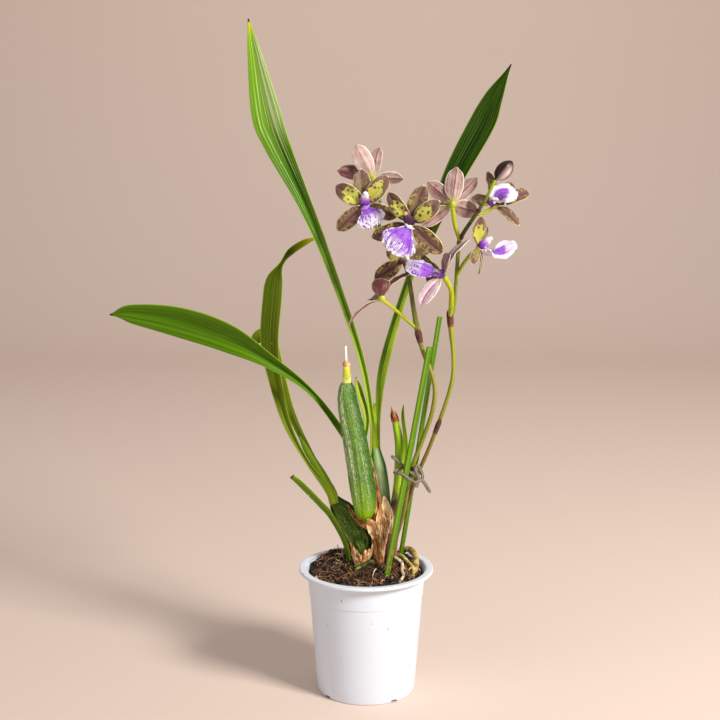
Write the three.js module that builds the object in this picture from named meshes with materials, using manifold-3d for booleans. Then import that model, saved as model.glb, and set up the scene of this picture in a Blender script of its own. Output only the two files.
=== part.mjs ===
// A Zygopetalum orchid in its nursery pot.
// Millimetres, +Z up, -Y is the front. The origin is the centre of the pot's underside.
import * as THREE from 'three';
import { mergeVertices } from 'three/addons/utils/BufferGeometryUtils.js';
import Module from 'manifold-3d';

const wasm = await Module();
wasm.setup();

// ---------------------------------------------------------------- driving dimensions

const GAP = 0.3; // clearance between neighbouring pieces
const LEAF_THICKNESS = 1.0;
const SCALE_THICKNESS = 0.9; // of the dry papery scales
const PETAL_THICKNESS = 0.8;
const THINNEST = 0.7; // a blade narrows to this at its tip

const POT_HEIGHT = 113;
const POT_BASE_RADIUS = 44;
const POT_NECK_RADIUS = 52.5; // under the rim
const NECK_DROP = 5; // from the rim's top down to the neck
const POT_WALL = 1.2;
const POT_SIDES = 32;
const RIM_RADIUS = 60;
const RIM_SKIRT = 2.6; // height of the turned-down edge of the rim
const RIM_ROUND = 0.9;
const FOOT_BEVEL = 1.4;
const STEP_HEIGHT = 88; // the stacking step round the wall
const STEP_DEPTH = 0.5;
const NOTCH_WIDTH = 6;
const NOTCH_HEIGHT = 2.4;
const NOTCH_ANGLES = [-51, 34, 124, -141]; // degrees from the front, round the foot

const SOIL_FRONT = 103.5; // height of the growing mix at the front wall
const SOIL_RISE = 8; // how much higher it lies at the back wall
const SOIL_TOP = 119; // nothing of the mix stands higher
const CROWN_MOUND = { x: 8, y: 18, height: 8, spread: 20 };
const BROAD_LUMP = 0.9;
const FINE_LUMP = 0.6;
const CHIP_COUNT = 9; // bark chips large enough to be solids
const CHIP_LEAST = [5, 4, 2.4]; // length, width and height of the smallest chip
const CHIP_SPREAD = [5, 3, 1.6]; // how much larger a chip can be
const CHIP_TILT = 0.9; // radians from one extreme to the other

const STAKE_1 = { foot: [8.5, -13.6, 54], top: [55, -6, 313], radius: 2.65 };
const STAKE_2 = { foot: [24, 31.8, 60], top: [64, 3, 338], radius: 2.0 };
const STAKE_SIDES = 10;
const TIE_WIDTH = 2.8;
const TIE_THICKNESS = 0.9;

const TEPAL_BOW = 0.09; // how far a tepal bows towards its face, as a share of its length
const TEPAL_FOLD = 12;
const LIP_FOLD = -8;
const LIP_FRILL = 1.0; // height of the waves along a lip's edge
const HUB_RADIUS = 3.2; // of the knob that the tepals and the column stand on

// ---------------------------------------------------------------- solids

const FRONT = [0, -1, 0];

// Welds a closed three.js geometry, drops collapsed triangles and makes it a solid facing outwards.
function toSolid(geometry) {
  const bare = geometry.clone();
  bare.deleteAttribute('normal');
  bare.deleteAttribute('uv');
  const welded = mergeVertices(bare, 1e-4);
  const corners = welded.attributes.position.array;
  const index = welded.index.array;
  const triangles = [];
  let volume = 0;
  const [a, b, c] = [new THREE.Vector3(), new THREE.Vector3(), new THREE.Vector3()];
  for (let i = 0; i < index.length; i += 3) {
    const [p, q, r] = [index[i], index[i + 1], index[i + 2]];
    if (p === q || q === r || r === p) continue;
    triangles.push([p, q, r]);
    a.fromArray(corners, 3 * p);
    b.fromArray(corners, 3 * q);
    c.fromArray(corners, 3 * r);
    volume += a.dot(b.cross(c));
  }
  const outward = volume > 0 ? triangles : triangles.map(([p, q, r]) => [p, r, q]);
  return new wasm.Manifold(new wasm.Mesh({
    numProp: 3,
    vertProperties: Float32Array.from(corners),
    triVerts: Uint32Array.from(outward.flat()),
  }));
}

function toGeometry(solid) {
  const mesh = solid.getMesh();
  const geometry = new THREE.BufferGeometry();
  geometry.setAttribute('position', new THREE.BufferAttribute(Float32Array.from(mesh.vertProperties), 3));
  geometry.setIndex(new THREE.BufferAttribute(Uint32Array.from(mesh.triVerts), 1));
  geometry.computeVertexNormals();
  return geometry;
}

function union(solids) {
  return solids.reduce((whole, solid) => whole.add(solid));
}

// The largest body of a solid. A cut can leave a loose scrap, which is dropped.
function largestBody(solid) {
  const bodies = solid.decompose();
  return bodies.reduce((best, body) => (body.volume() > best.volume() ? body : best));
}

function degrees(angle) {
  return THREE.MathUtils.degToRad(angle);
}

// ---------------------------------------------------------------- sweeps

// A smooth run through the rows of `stations`, where t goes from 0 at the first row to 1 at the last.
function smoothRows(stations) {
  const spine = new THREE.CatmullRomCurve3(
    stations.map(([x, y, z]) => new THREE.Vector3(x, y, z)), false, 'catmullrom', 0.5);
  const columns = stations[0].length;
  const tracks = [];
  for (let k = 3; k < columns; k += 1) {
    tracks.push(new THREE.SplineCurve(stations.map((row, i) => new THREE.Vector2(i, row[k] ?? 0))));
  }
  return {
    point: (t) => spine.getPoint(t),
    tangent: (t) => spine.getTangent(t),
    value: (k, t) => (k < tracks.length ? tracks[k].getPoint(t).y : 0),
  };
}

// The across and outward directions of a sweep whose front face looks towards `facing`.
function frameAt(tangent, facing, roll = 0) {
  const across = new THREE.Vector3().crossVectors(tangent, new THREE.Vector3(...facing)).normalize();
  const outward = new THREE.Vector3().crossVectors(across, tangent);
  across.applyAxisAngle(tangent, roll);
  outward.applyAxisAngle(tangent, roll);
  return { across, outward };
}

// A closed sheet of rows x columns cells, both faces split along the same diagonals.
// place(i, j, face) gives a corner, with face +1 on the front and -1 on the back.
function slab(rows, columns, place) {
  const positions = [];
  for (let i = 0; i <= rows; i += 1) {
    for (let j = 0; j <= columns; j += 1) {
      positions.push(...place(i, j, -1).toArray(), ...place(i, j, 1).toArray());
    }
  }
  const back = (i, j) => 2 * (i * (columns + 1) + j);
  const front = (i, j) => back(i, j) + 1;
  const faces = [];
  const quad = (p, q, r, s) => faces.push(p, q, r, p, r, s);
  for (let i = 0; i < rows; i += 1) {
    for (let j = 0; j < columns; j += 1) {
      quad(front(i, j), front(i, j + 1), front(i + 1, j + 1), front(i + 1, j));
      faces.push(back(i, j), back(i + 1, j + 1), back(i, j + 1));
      faces.push(back(i, j), back(i + 1, j), back(i + 1, j + 1));
    }
    quad(front(i, 0), front(i + 1, 0), back(i + 1, 0), back(i, 0));
    quad(front(i, columns), back(i, columns), back(i + 1, columns), front(i + 1, columns));
  }
  for (let j = 0; j < columns; j += 1) {
    quad(front(0, j), back(0, j), back(0, j + 1), front(0, j + 1));
    quad(front(rows, j), front(rows, j + 1), back(rows, j + 1), back(rows, j));
  }
  const geometry = new THREE.BufferGeometry();
  geometry.setAttribute('position', new THREE.Float32BufferAttribute(positions, 3));
  geometry.setIndex(faces);
  return geometry;
}

// A leaf or petal. Each station is [x, y, z, width, fold, roll]: the fold in degrees lifts both
// halves into a V, and the roll in degrees turns the blade about its own midline. Above 1, `crowd`
// gathers the rows towards the tip.
function blade(stations, options = {}, skin = 0) {
  const { thickness = LEAF_THICKNESS, rows = 10, columns = 2, facing = FRONT, crowd = 1 } = options;
  const { pleat = 0, frill = 0, frills = 0 } = options;
  const run = smoothRows(stations);
  const place = (i, j, face) => {
    const t = 1 - (1 - i / rows) ** crowd;
    const tangent = run.tangent(t);
    const fold = degrees(run.value(1, t));
    const { across, outward } = frameAt(tangent, facing, degrees(run.value(2, t)));
    const width = Math.max(run.value(0, t), THINNEST) + 2 * skin;
    const s = (2 * j) / columns - 1; // -1 at the left edge, +1 at the right edge
    const reach = (Math.abs(s) * width) / 2;
    const ridge = pleat * width * Math.sin(Math.PI * Math.abs(s));
    const wave = frill * s * s * Math.sin(frills * Math.PI * 2 * t + s * frills * Math.PI) * t;
    const side = Math.sign(s);
    const lift = reach * Math.sin(fold) + ridge + wave;
    const half = (face * (thickness + 2 * skin)) / 2;
    const point = run.point(t);
    point.addScaledVector(across, side * reach * Math.cos(fold) - side * half * Math.sin(fold));
    point.addScaledVector(outward, lift + half * Math.cos(side === 0 ? 0 : fold));
    if (i === 0) point.addScaledVector(tangent, -skin);
    if (i === rows) point.addScaledVector(tangent, skin);
    return point;
  };
  return toSolid(slab(rows, columns, place));
}

// A stem, bulb or root. Each station is [x, y, z, radius]. `flat` squeezes it front to back, and
// `ribs` ridges of relative height `ridge` run along it.
function stem(stations, options = {}, skin = 0) {
  const { sides = 6, rows = stations.length - 1, facing = FRONT, flat = 1, ribs = 0, ridge = 0 } = options;
  const run = smoothRows(stations);
  const geometry = new THREE.CylinderGeometry(1, 1, 1, sides, rows);
  const corners = geometry.attributes.position;
  for (let n = 0; n < corners.count; n += 1) {
    const t = corners.getY(n) + 0.5;
    const [u, v] = [corners.getX(n), corners.getZ(n)];
    const tangent = run.tangent(t);
    const { across, outward } = frameAt(tangent, facing);
    const swell = 1 + ridge * Math.cos(ribs * Math.atan2(v, u)) * Math.sin(Math.PI * t);
    const radius = Math.max(run.value(0, t), 0.35) * swell + skin;
    const point = run.point(t);
    point.addScaledVector(across, u * radius);
    point.addScaledVector(outward, v * radius * flat);
    if (t < 1e-6) point.addScaledVector(tangent, -skin);
    if (t > 1 - 1e-6) point.addScaledVector(tangent, skin);
    corners.setXYZ(n, ...point.toArray());
  }
  return toSolid(geometry);
}

// A straight round rod between two points.
function rod({ foot, top, radius }, skin = 0) {
  const from = new THREE.Vector3(...foot);
  const to = new THREE.Vector3(...top);
  const along = to.clone().sub(from).normalize();
  from.addScaledVector(along, -skin);
  to.addScaledVector(along, skin);
  const section = new THREE.Shape();
  for (let k = 0; k < STAKE_SIDES; k += 1) {
    const angle = (2 * Math.PI * k) / STAKE_SIDES;
    const corner = [(radius + skin) * Math.cos(angle), (radius + skin) * Math.sin(angle)];
    if (k === 0) section.moveTo(...corner);
    else section.lineTo(...corner);
  }
  section.closePath();
  return toSolid(new THREE.ExtrudeGeometry(section, {
    steps: 1,
    extrudePath: new THREE.LineCurve3(from, to),
  }));
}

// ---------------------------------------------------------------- pot

function potSolid() {
  const neck = POT_HEIGHT - NECK_DROP;
  const slope = (POT_NECK_RADIUS - POT_BASE_RADIUS - STEP_DEPTH) / neck;
  const outer = (z) => POT_BASE_RADIUS + slope * z + (z > STEP_HEIGHT + STEP_DEPTH ? STEP_DEPTH : 0);
  const inner = (z) => outer(z) - POT_WALL;
  const skirt = POT_HEIGHT - RIM_SKIRT;
  const underRim = POT_HEIGHT - POT_WALL - 0.3;
  const profile = [
    [0, 0],
    [POT_BASE_RADIUS - FOOT_BEVEL, 0],
    [outer(FOOT_BEVEL) - 0.2, FOOT_BEVEL],
    [outer(STEP_HEIGHT), STEP_HEIGHT],
    [outer(STEP_HEIGHT + 1), STEP_HEIGHT + 1],
    [outer(neck), neck],
    [POT_NECK_RADIUS + 1.8, underRim],
    [RIM_RADIUS - POT_WALL, underRim],
    [RIM_RADIUS - POT_WALL, skirt],
    [RIM_RADIUS, skirt],
    [RIM_RADIUS, POT_HEIGHT - RIM_ROUND],
    [RIM_RADIUS - RIM_ROUND, POT_HEIGHT],
    [POT_NECK_RADIUS + 2.4, POT_HEIGHT],
    [POT_NECK_RADIUS + 0.6, POT_HEIGHT - RIM_ROUND],
    [inner(neck), neck],
    [inner(STEP_HEIGHT + 1), STEP_HEIGHT + 1],
    [inner(STEP_HEIGHT), STEP_HEIGHT],
    [inner(POT_WALL), POT_WALL],
    [0, POT_WALL],
  ];
  const wall = new THREE.LatheGeometry(profile.map(([r, z]) => new THREE.Vector2(r, z)), POT_SIDES);
  wall.rotateX(Math.PI / 2);
  let solid = toSolid(wall);
  for (const angle of NOTCH_ANGLES) {
    const notch = new THREE.BoxGeometry(NOTCH_WIDTH, 2 * NOTCH_WIDTH, 2 * NOTCH_HEIGHT);
    notch.translate(0, -POT_BASE_RADIUS, 0);
    notch.rotateZ(degrees(angle));
    solid = solid.subtract(toSolid(notch));
  }
  return solid;
}

// ---------------------------------------------------------------- growing medium

function soilHeight(x, y) {
  const { x: cx, y: cy, height, spread } = CROWN_MOUND;
  const rise = SOIL_RISE * THREE.MathUtils.smoothstep(y, -40, 45);
  const mound = height * Math.exp(-((x - cx) ** 2 + (y - cy) ** 2) / (2 * spread ** 2));
  const broad = Math.sin(0.31 * x + 0.5) * Math.cos(0.27 * y);
  const fine = Math.sin(0.62 * x - 0.5 * y);
  return Math.min(SOIL_FRONT + rise + mound + BROAD_LUMP * broad + FINE_LUMP * fine, SOIL_TOP);
}

// A small seeded generator, so that the chips always fall alike.
function seededRandom(seed) {
  let state = seed;
  return () => {
    state = (state * 1664525 + 1013904223) % 4294967296;
    return state / 4294967296;
  };
}

// A tilted bark chip, half sunk at a distance `radius` from the pot's axis.
function chipSolid(angle, radius, random) {
  const [x, y] = [radius * Math.cos(angle), radius * Math.sin(angle)];
  const size = CHIP_LEAST.map((least, k) => least + CHIP_SPREAD[k] * random());
  const chip = new THREE.BoxGeometry(...size);
  chip.rotateX(CHIP_TILT * (random() - 0.5));
  chip.rotateY(CHIP_TILT * (random() - 0.5));
  chip.rotateZ(2 * Math.PI * random());
  chip.translate(x, y, soilHeight(x, y) + GAP);
  return toSolid(chip);
}

function mediumSolid() {
  const clearance = 2 * GAP;
  const foot = POT_BASE_RADIUS - POT_WALL - clearance;
  const top = POT_NECK_RADIUS - POT_WALL - STEP_DEPTH - clearance;
  const atStep = foot + ((top - foot) * STEP_HEIGHT) / (POT_HEIGHT - NECK_DROP);
  const rings = [1, 0.88, 0.7, 0.52, 0.34, 0.17, 0]; // of the surface, as shares of its radius
  const profile = [
    [0, POT_WALL + GAP],
    [foot, POT_WALL + GAP],
    [atStep, STEP_HEIGHT],
    [top, SOIL_FRONT - SOIL_RISE / 2],
    ...rings.map((share) => [share * top, POT_HEIGHT]),
  ];
  const body = new THREE.LatheGeometry(profile.map(([r, z]) => new THREE.Vector2(r, z)), POT_SIDES);
  body.rotateX(Math.PI / 2);
  const corners = body.attributes.position;
  for (let n = 0; n < corners.count; n += 1) {
    if (corners.getZ(n) === POT_HEIGHT) corners.setZ(n, soilHeight(corners.getX(n), corners.getY(n)));
  }
  const random = seededRandom(7);
  const chips = [];
  for (let k = 0; k < CHIP_COUNT; k += 1) {
    chips.push(chipSolid(2.4 * k, 12 + 29 * Math.sqrt((k + 0.5) / CHIP_COUNT), random));
  }
  return union([toSolid(body), ...chips]);
}

// ---------------------------------------------------------------- leaves

// Stations run from the foot to the tip: x, y, z, width, fold, roll.
const LEAVES = {
  leaf_a: {
    colour: '#4f8a1f',
    rows: 20,
    columns: 4,
    pleat: 0.02,
    stations: [
      [7.4, 17, 209, 9, 28, 0], [5, 17.5, 245, 7, 52, 0], [-5.3, 17, 303, 10, 58, 0],
      [-32.8, 7, 386, 12, 52, 0], [-53.3, -1, 438, 15, 42, 0], [-76, -5, 487, 20.5, 28, 0],
      [-84.6, -6, 513, 22.5, 22, 0], [-94.4, -3, 565, 13, 20, 0], [-99, 0, 590, 0.8, 15, 0],
    ],
  },
  leaf_b: {
    colour: '#2f6a17',
    rows: 20,
    columns: 4,
    pleat: 0.02,
    stations: [
      [8.6, 20.4, 209, 9, 28, 0], [10.4, 22, 245, 8, 52, 0], [16, 30, 292, 11, 40, 0],
      [38, 45, 365, 10, 48, 0], [59, 55, 412, 13, 36, 0], [79, 61, 459, 21, 22, 0],
      [103, 61, 504, 23.5, 14, 0], [113, 58, 527, 17, 14, 0], [128, 55, 556, 0.8, 0, 0],
    ],
  },
  leaf_c: {
    colour: '#7da52c',
    rows: 8,
    columns: 2,
    stations: [
      [5, 7.5, 160, 4, 30, 0], [-4, 8.5, 208, 5.5, 35, 0], [0.2, 9.4, 245, 7, 35, 0],
      [-6, 8, 273, 7.5, 35, 0], [-9, 7, 283, 0.8, 10, 0],
    ],
  },
  leaf_d: {
    colour: '#3f8a1c',
    rows: 20,
    columns: 4,
    pleat: 0.02,
    stations: [
      [7, 14.5, 158, 5, 50, 0], [5, 15, 175, 6, 50, 0], [-13, 14, 215, 7, 50, 0],
      [-23, 13, 236, 8, 45, 0], [-50, 6, 273, 9, 55, 0], [-84, -4, 302, 17, 38, -14],
      [-119, -13, 324, 31, 18, -26], [-159, -18, 338, 33, 13, -28], [-199, -23, 345, 20, 13, -26],
      [-218, -24, 343.5, 0.8, 10, -20],
    ],
  },
  leaf_e: {
    colour: '#3b6420',
    rows: 18,
    columns: 2,
    stations: [
      [-28.4, 12.6, 167, 9, 25, 0], [-33, 13, 180, 9, 32, 0], [-52, 15, 205, 7, 60, 0],
      [-70, 17, 239, 10, 48, 0], [-80, 20, 275, 13, 34, 0], [-86, 20, 313, 17, 30, 0],
      [-80, 22, 369, 17, 32, 0], [-73, 24, 386, 9, 50, 0], [-59, 28, 398, 9, 45, 0],
      [-43, 32, 405, 0.8, 10, 0],
    ],
  },
  leaf_f: {
    colour: '#8dab3a',
    rows: 12,
    columns: 2,
    stations: [
      [-27.6, 16, 167, 8.5, 25, 0], [-31.5, 17, 180, 8.5, 32, 0], [-42.5, 22.5, 202, 8, 52, 0],
      [-67, 33, 245, 10, 45, 0], [-80, 39, 292, 12, 38, 0], [-87, 42, 311, 10, 40, 0],
      [-95, 45, 320, 6, 40, 0], [-104, 50, 315, 0.8, 10, 0],
    ],
  },
  leaf_g: {
    colour: '#7d9a34',
    rows: 9,
    columns: 2,
    facing: [-0.9, -0.43, 0],
    stations: [
      [-12.5, 9.5, 103, 4, 20, 0], [-18.4, 9.2, 132, 6, 20, 0], [-31.4, 10.9, 158, 6.5, 20, 0],
      [-40, 9, 170, 7.5, 20, 0], [-61, 1, 192, 6, 15, 0], [-67, -1, 196, 3, 0, 0],
    ],
  },
  shoot_leaf: {
    colour: '#86ad35',
    rows: 8,
    columns: 2,
    stations: [
      [28.2, 6, 172, 2.6, 20, 0], [35.2, 7.4, 217, 4.4, 30, 0], [32.5, 7, 248, 3, 25, 0],
      [33, 7, 259, 0.8, 10, 0],
    ],
  },
};

// ---------------------------------------------------------------- bulbs, shoots, sheaths

// Stations run from the foot upwards: x, y, z, radius.
const STEMS = {
  leaf_stub_fibre: {
    colour: '#efe9dc',
    sides: 5,
    stations: [[-17.3, -8, 293, 0.9], [-17.6, -8, 303, 0.9], [-18, -8, 314, 0.8]],
  },
  leaf_stub: {
    colour: '#c9c94a',
    sides: 10,
    stations: [[-17, -8, 279, 3.7], [-17, -8, 285, 3.6], [-17.2, -8, 293, 3.1], [-17.4, -8, 299, 2.6]],
  },
  shoot: {
    colour: '#9ab83a',
    sides: 8,
    stations: [
      [27.4, 4, 178, 3], [28.3, 3, 218, 3.9], [24.5, 3, 247, 2.2], [23, 3, 258, 0.8],
    ],
  },
  bulb_left: {
    colour: '#3d5a24',
    sides: 16,
    flat: 0.82,
    ribs: 8,
    ridge: 0.045,
    rows: 8,
    stations: [
      [-2, 13, 108, 3.4], [-5, 14, 127, 10.2], [-9, 15, 139, 12.6], [-16, 16, 152, 11.8],
      [-25.5, 15.5, 165.5, 7.2], [-28.3, 14.5, 171.5, 4.6],
    ],
  },
  bulb_front: {
    colour: '#6f8f5a',
    sides: 16,
    flat: 0.85,
    ribs: 8,
    ridge: 0.05,
    rows: 10,
    stations: [
      [1, -2.6, 156, 3], [-0.8, -4.2, 164, 8.2], [-2, -5, 178, 10.5], [-5, -6, 200, 10.6],
      [-11, -7, 236, 9.8], [-16, -8, 263, 8.5], [-17, -8, 277, 6.8], [-17, -8, 282, 4.6],
    ],
  },
  bulb_back: {
    colour: '#6d8a52',
    sides: 12,
    flat: 0.85,
    ribs: 6,
    ridge: 0.02,
    rows: 8,
    stations: [
      [14, 13, 146, 3.6], [15, 14, 156, 6], [14, 15, 168, 8], [10.5, 17, 198, 7.9],
      [8, 18.6, 217.5, 4.6],
    ],
  },
  shoot_sheath: {
    colour: '#4a2a26',
    sides: 8,
    stations: [
      [18.5, 4, 106, 2.6], [20.5, 3, 145, 3.6], [25.5, 3.6, 168, 3.9], [27.7, 4, 187, 3.5],
    ],
  },
  rhizome: {
    colour: '#6d7f37',
    sides: 7,
    stations: [[7, 3, 116, 2.6], [2, 0.5, 117.5, 2.6], [-5, -2, 114, 2.5], [-12, -4, 108, 2.2]],
  },
};

// Papery scales stand off the sheath column. Stations run from the foot to the tip: x, y, z, width, fold.
const SCALES = [
  [[11, -1, 150, 7, 20], [9.5, -1, 172, 4.5, 25], [7, 0.5, 194, 2.2, 30], [4, 2, 213, 0.8, 0]],
  [[18, 0.5, 148, 9, 25], [20.5, 0.5, 162, 9, 25], [20.5, 0.2, 174, 1.2, 10]],
  [[3, 3, 148, 6, 20], [-6, 2.4, 154, 5, 25], [-13, 2.4, 163, 3, 20], [-17, 3.4, 170, 0.8, 0]],
  [[14, -1, 144, 8, 20], [13, -2.5, 158, 7, 20], [12, -2.5, 171, 1, 10]],
  [[9.5, 2, 139, 8, 20], [7, -3.5, 148, 11, 20], [4, -8.5, 155, 9, 15], [1, -11, 160, 2, 0]],
];
const SHEATH_COLUMN = [
  [13, 11, 108, 6], [13.5, 10, 122, 7.4], [12.5, 9, 136, 9], [11.5, 9, 148, 11.4], [11.3, 9, 157, 12.2],
  [11, 9, 163, 10.5],
];
const SHEATH_LUMP = [[0, 11, 106, 8.5], [-1.5, 11, 115, 9.8], [-4, 11.5, 123, 9.8], [-5.5, 12, 128, 7.5]];

function sheathColumn(skin) {
  const column = stem(SHEATH_COLUMN, { sides: 12, rows: 4, flat: 0.95, ribs: 6, ridge: 0.07 }, skin);
  const scales = SCALES.map((stations) => blade(stations, { rows: 4, thickness: SCALE_THICKNESS }, skin));
  return union([column, ...scales]);
}

// ---------------------------------------------------------------- roots

const ROOTS = {
  root_white: {
    colour: '#e6dcc6',
    stations: [
      [20, 14, 112, 1.2], [25, 10, 118, 1.4], [32, 4, 115, 1.5], [32, -6, 111.5, 1.4], [33, -14, 109, 1.3],
      [29, -23, 106, 1.2],
    ],
  },
  root_green: {
    colour: '#b9b45c',
    stations: [
      [27, 19, 113, 1.2], [32, 15, 118, 1.5], [37, 8, 115, 1.6], [42, -1, 112, 1.6], [42, -12, 107, 1.4],
    ],
  },
  root_old: {
    colour: '#b79a66',
    sides: 7,
    stations: [
      [27, 27, 113, 2.4], [35, 27, 122, 3.2], [41, 21.5, 124, 3.5], [44, 13, 122, 3.5], [45, 4, 117, 3.4],
      [43.5, -2, 107, 3],
    ],
  },
};

// ---------------------------------------------------------------- flower spikes

const SPIKES = {
  spike_1: {
    colour: '#6b6b2a',
    axis: [
      [21, 9, 104, 1.9], [22, 8.5, 120, 2], [33, 5, 160, 2], [39, 1.2, 200, 2], [50, 1.8, 234, 2],
      [59, 2, 266, 2], [60, 1.8, 280, 2], [49, 1.8, 308, 2], [44.5, 2, 327, 2.6], [41, 1, 346, 2.1],
      [33, -1, 386, 1.8], [17, 2, 405, 1.6], [11, 4, 418, 1.5], [12, 5, 436, 1.4], [7, 7, 453, 1.4],
    ],
    stalks: [
      [[44, 2, 328, 1.6], [34, -2, 337, 1.5], [22, -8, 348, 1.5], [13, -12, 355, 1.7]], // bloom 9
      [[36, -1, 374, 1.4], [35, 4, 381, 1.3], [33, 9, 386, 1.5]], // bloom 8
      [[31, -1, 389, 1.4], [31, -10, 400, 1.3], [35, -22, 414, 1.4], [37, -29, 421, 1.6]], // bloom 3
      [[17, 2, 405, 1.3], [8, -4, 416, 1.3], [0, -10, 428, 1.4], [-2, -14, 435, 1.6]], // bloom 2
    ],
  },
  spike_2: {
    colour: '#7b7a33',
    axis: [
      [25, 15.5, 104, 1.7], [28, 14, 138, 1.8], [37, 11.4, 169, 1.8], [48, 7.2, 201, 1.8],
      [58, 8, 225, 1.8], [74, 10, 272, 1.8], [77, 12, 299, 1.8], [73.5, 13, 338, 2.6],
      [77, 13, 345, 1.8], [80, 13, 393, 1.7], [82, 13, 406, 1.8], [96.6, 6, 430, 1.6],
      [104, 2.4, 443, 1.4], [110.3, 4, 456, 1.4],
    ],
    stalks: [
      [[73.5, 13, 336, 2], [74, 6, 348, 2.3], [73, -2, 362, 2.1], [67, -9, 374, 2.2]], // bloom 7
      [[79, 13, 371, 1.5], [83, 12, 381, 1.6], [90, 10, 391, 1.6], [97, 8, 397, 1.6]], // bloom 6
      [[81.5, 13, 403, 1.7], [77, 12, 417, 1.9], [74, 10, 434, 1.7]], // bloom 4
      [[94, 8, 426.5, 1.4], [102, 10, 428, 1.5], [110, 10.5, 433, 1.5]], // bloom 5
    ],
  },
};

function spikeSolid({ axis, stalks }, skin) {
  const parts = stalks.map((stations) => stem(stations, { sides: 5, rows: 3 }, skin));
  return union([stem(axis, { sides: 5, rows: axis.length - 1 }, skin), ...parts]);
}

const BUD = [
  [111.1, 4.8, 457, 1.5], [113.3, 4.4, 459.5, 4.4], [117.5, 4, 464, 5.6], [121.8, 3.5, 468.5, 4.4],
  [125.3, 3.2, 472, 1],
];

// ---------------------------------------------------------------- blooms

// Offsets run from the bloom's centre, and `facing` is where its face looks.
// A tepal is [x, y, z, width, roll]: its tip, its greatest width and its turn about its own midline.
// A lip runs from its throat over the crest to its tip.
const BLOOMS = {
  1: {
    centre: [6, 8, 456],
    facing: [-0.3, 0.85, 0.4],
    tepals: [[-15, -6, 30, 17], [5, -4, 28, 14], [-31, 2, 8, 14], [26, 0, 1, 13], [3, 9, -22, 13]],
    column: [-2, 8, 5],
    lip: { throat: [-1.1, 2.6, -1.6], crest: [-5, 14, -6], tip: [-7, 19, -13], width: 22 },
  },
  2: {
    centre: [-2, -15, 436],
    facing: [0, -1, 0.05],
    tepals: [[-3, 4, 30, 16], [-24, 1, 16, 16], [20, 1, 24, 16], [-23, 3, -22, 15], [28, 5, -11, 13]],
    column: [1, -8, 10],
    lip: { throat: [0.5, -2.9, -1.2], crest: [3.5, -9, -7], tip: [8, -9, -16], width: 25 },
  },
  3: {
    centre: [37, -30, 421],
    facing: [-0.15, -0.98, -0.02],
    tepals: [[11, 2, 32, 17], [-19, 2, 26, 13], [24, -2, 19, 15], [-33, 4, -12, 14], [27, -2, -25, 16]],
    column: [-5, -9, 9],
    lip: { throat: [-1, -2.7, -1.4], crest: [-7, -12, -9], tip: [-16, -11, -21], width: 30 },
  },
  4: {
    centre: [74, 10, 435],
    facing: [0, 1, 0.1],
    tepals: [[4, 4, 32, 17], [-21, 5, 19, 15], [22, 5, 23, 14], [-26, 4, -19, 14], [23, 6, -8, 16]],
    column: [0, 9, 4],
    lip: { throat: [0, 2.9, -1.2], crest: [0, 13, -2], tip: [1, 19, -5], width: 20 },
  },
  5: {
    centre: [111, 10, 434],
    facing: [0.35, -0.75, 0.5],
    tepals: [[-2, 6, 31, 12], [16, 11, 19, 12], [30, 5, 11, 13], [21, -3, -17, 12], [-21, 4, 6, 13]],
    column: [-1, -6, 9],
    lip: { throat: [1.2, -2.8, 0], crest: [5, -12, 10], tip: [13, -18, 13], width: 28 },
  },
  6: {
    centre: [98, 8, 398],
    facing: [0.95, -0.2, 0.1],
    tepals: [[1, -9, 30, 14, -48], [4, 14, 24, 12], [-6, -15, -12, 14, 30], [0, 7, -24, 11], [2, 24, 3, 12]],
    column: [9, -1, 8],
    lip: { throat: [4, -1, -4], crest: [18, -5, -9], tip: [31, -3, 3], width: 19 },
  },
  7: {
    centre: [66, -10, 376],
    facing: [-0.85, -0.35, 0.15],
    tepals: [
      [5, -13, 19, 16], [22, 4, 30, 12], [-18, 14, 15, 13], [-20, -8, -26, 15, -10], [-14, 17, -5, 11],
    ],
    column: [-8, -3, 4],
    lip: { throat: [-5, -3, 0], crest: [-14, -7, 5], tip: [-31, -5, 9], width: 20 },
  },
  8: {
    centre: [33, 10, 387],
    facing: [-0.1, -0.95, 0.1],
    tepals: [[-26, 3, -18, 15], [-15, 9, 8, 12], [6, 1, 16, 12], [31, 6, 17, 13], [17, 4, -13, 11]],
    column: [2, -6, 3],
    lip: { throat: [4, -4, 2], crest: [8, -5, 6], tip: [11, -4, 11], width: 9 },
  },
  9: {
    centre: [13, -12, 356],
    facing: [-0.62, 0.1, 0.78],
    tepals: [
      [0.5, -11, 18.5, 16.5, -50], [26, 2, 21, 13], [-28, 2, -25, 13], [-9, 20, -3, 12], [6, 20, 14, 12],
    ],
    column: [-4, 5, 6],
    lip: { throat: [-1, 5, 3], crest: [-2, 12, 6], tip: [0, 18, 8], width: 14 },
  },
};

// Width along a blade of the bloom, as a share of its greatest width.
const TEPAL_OUTLINE = [0.14, 0.66, 0.94, 1, 0.94, 0.72, 0.1];
const LIP_OUTLINE = [0.16, 0.34, 0.68, 0.94, 1, 0.7];
const COLUMN_STATIONS = [[0, 2.3], [0.45, 2.9], [0.85, 3.3], [1, 2.3]]; // share of its length, radius

// The stations of a blade whose midline is a curve and whose width follows an outline.
function outlinedStations(midline, outline, width, fold, roll) {
  return outline.map((share, i) => {
    const point = midline.getPoint(i / (outline.length - 1));
    return [point.x, point.y, point.z, Math.max(share * width, THINNEST), fold, roll];
  });
}

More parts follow.
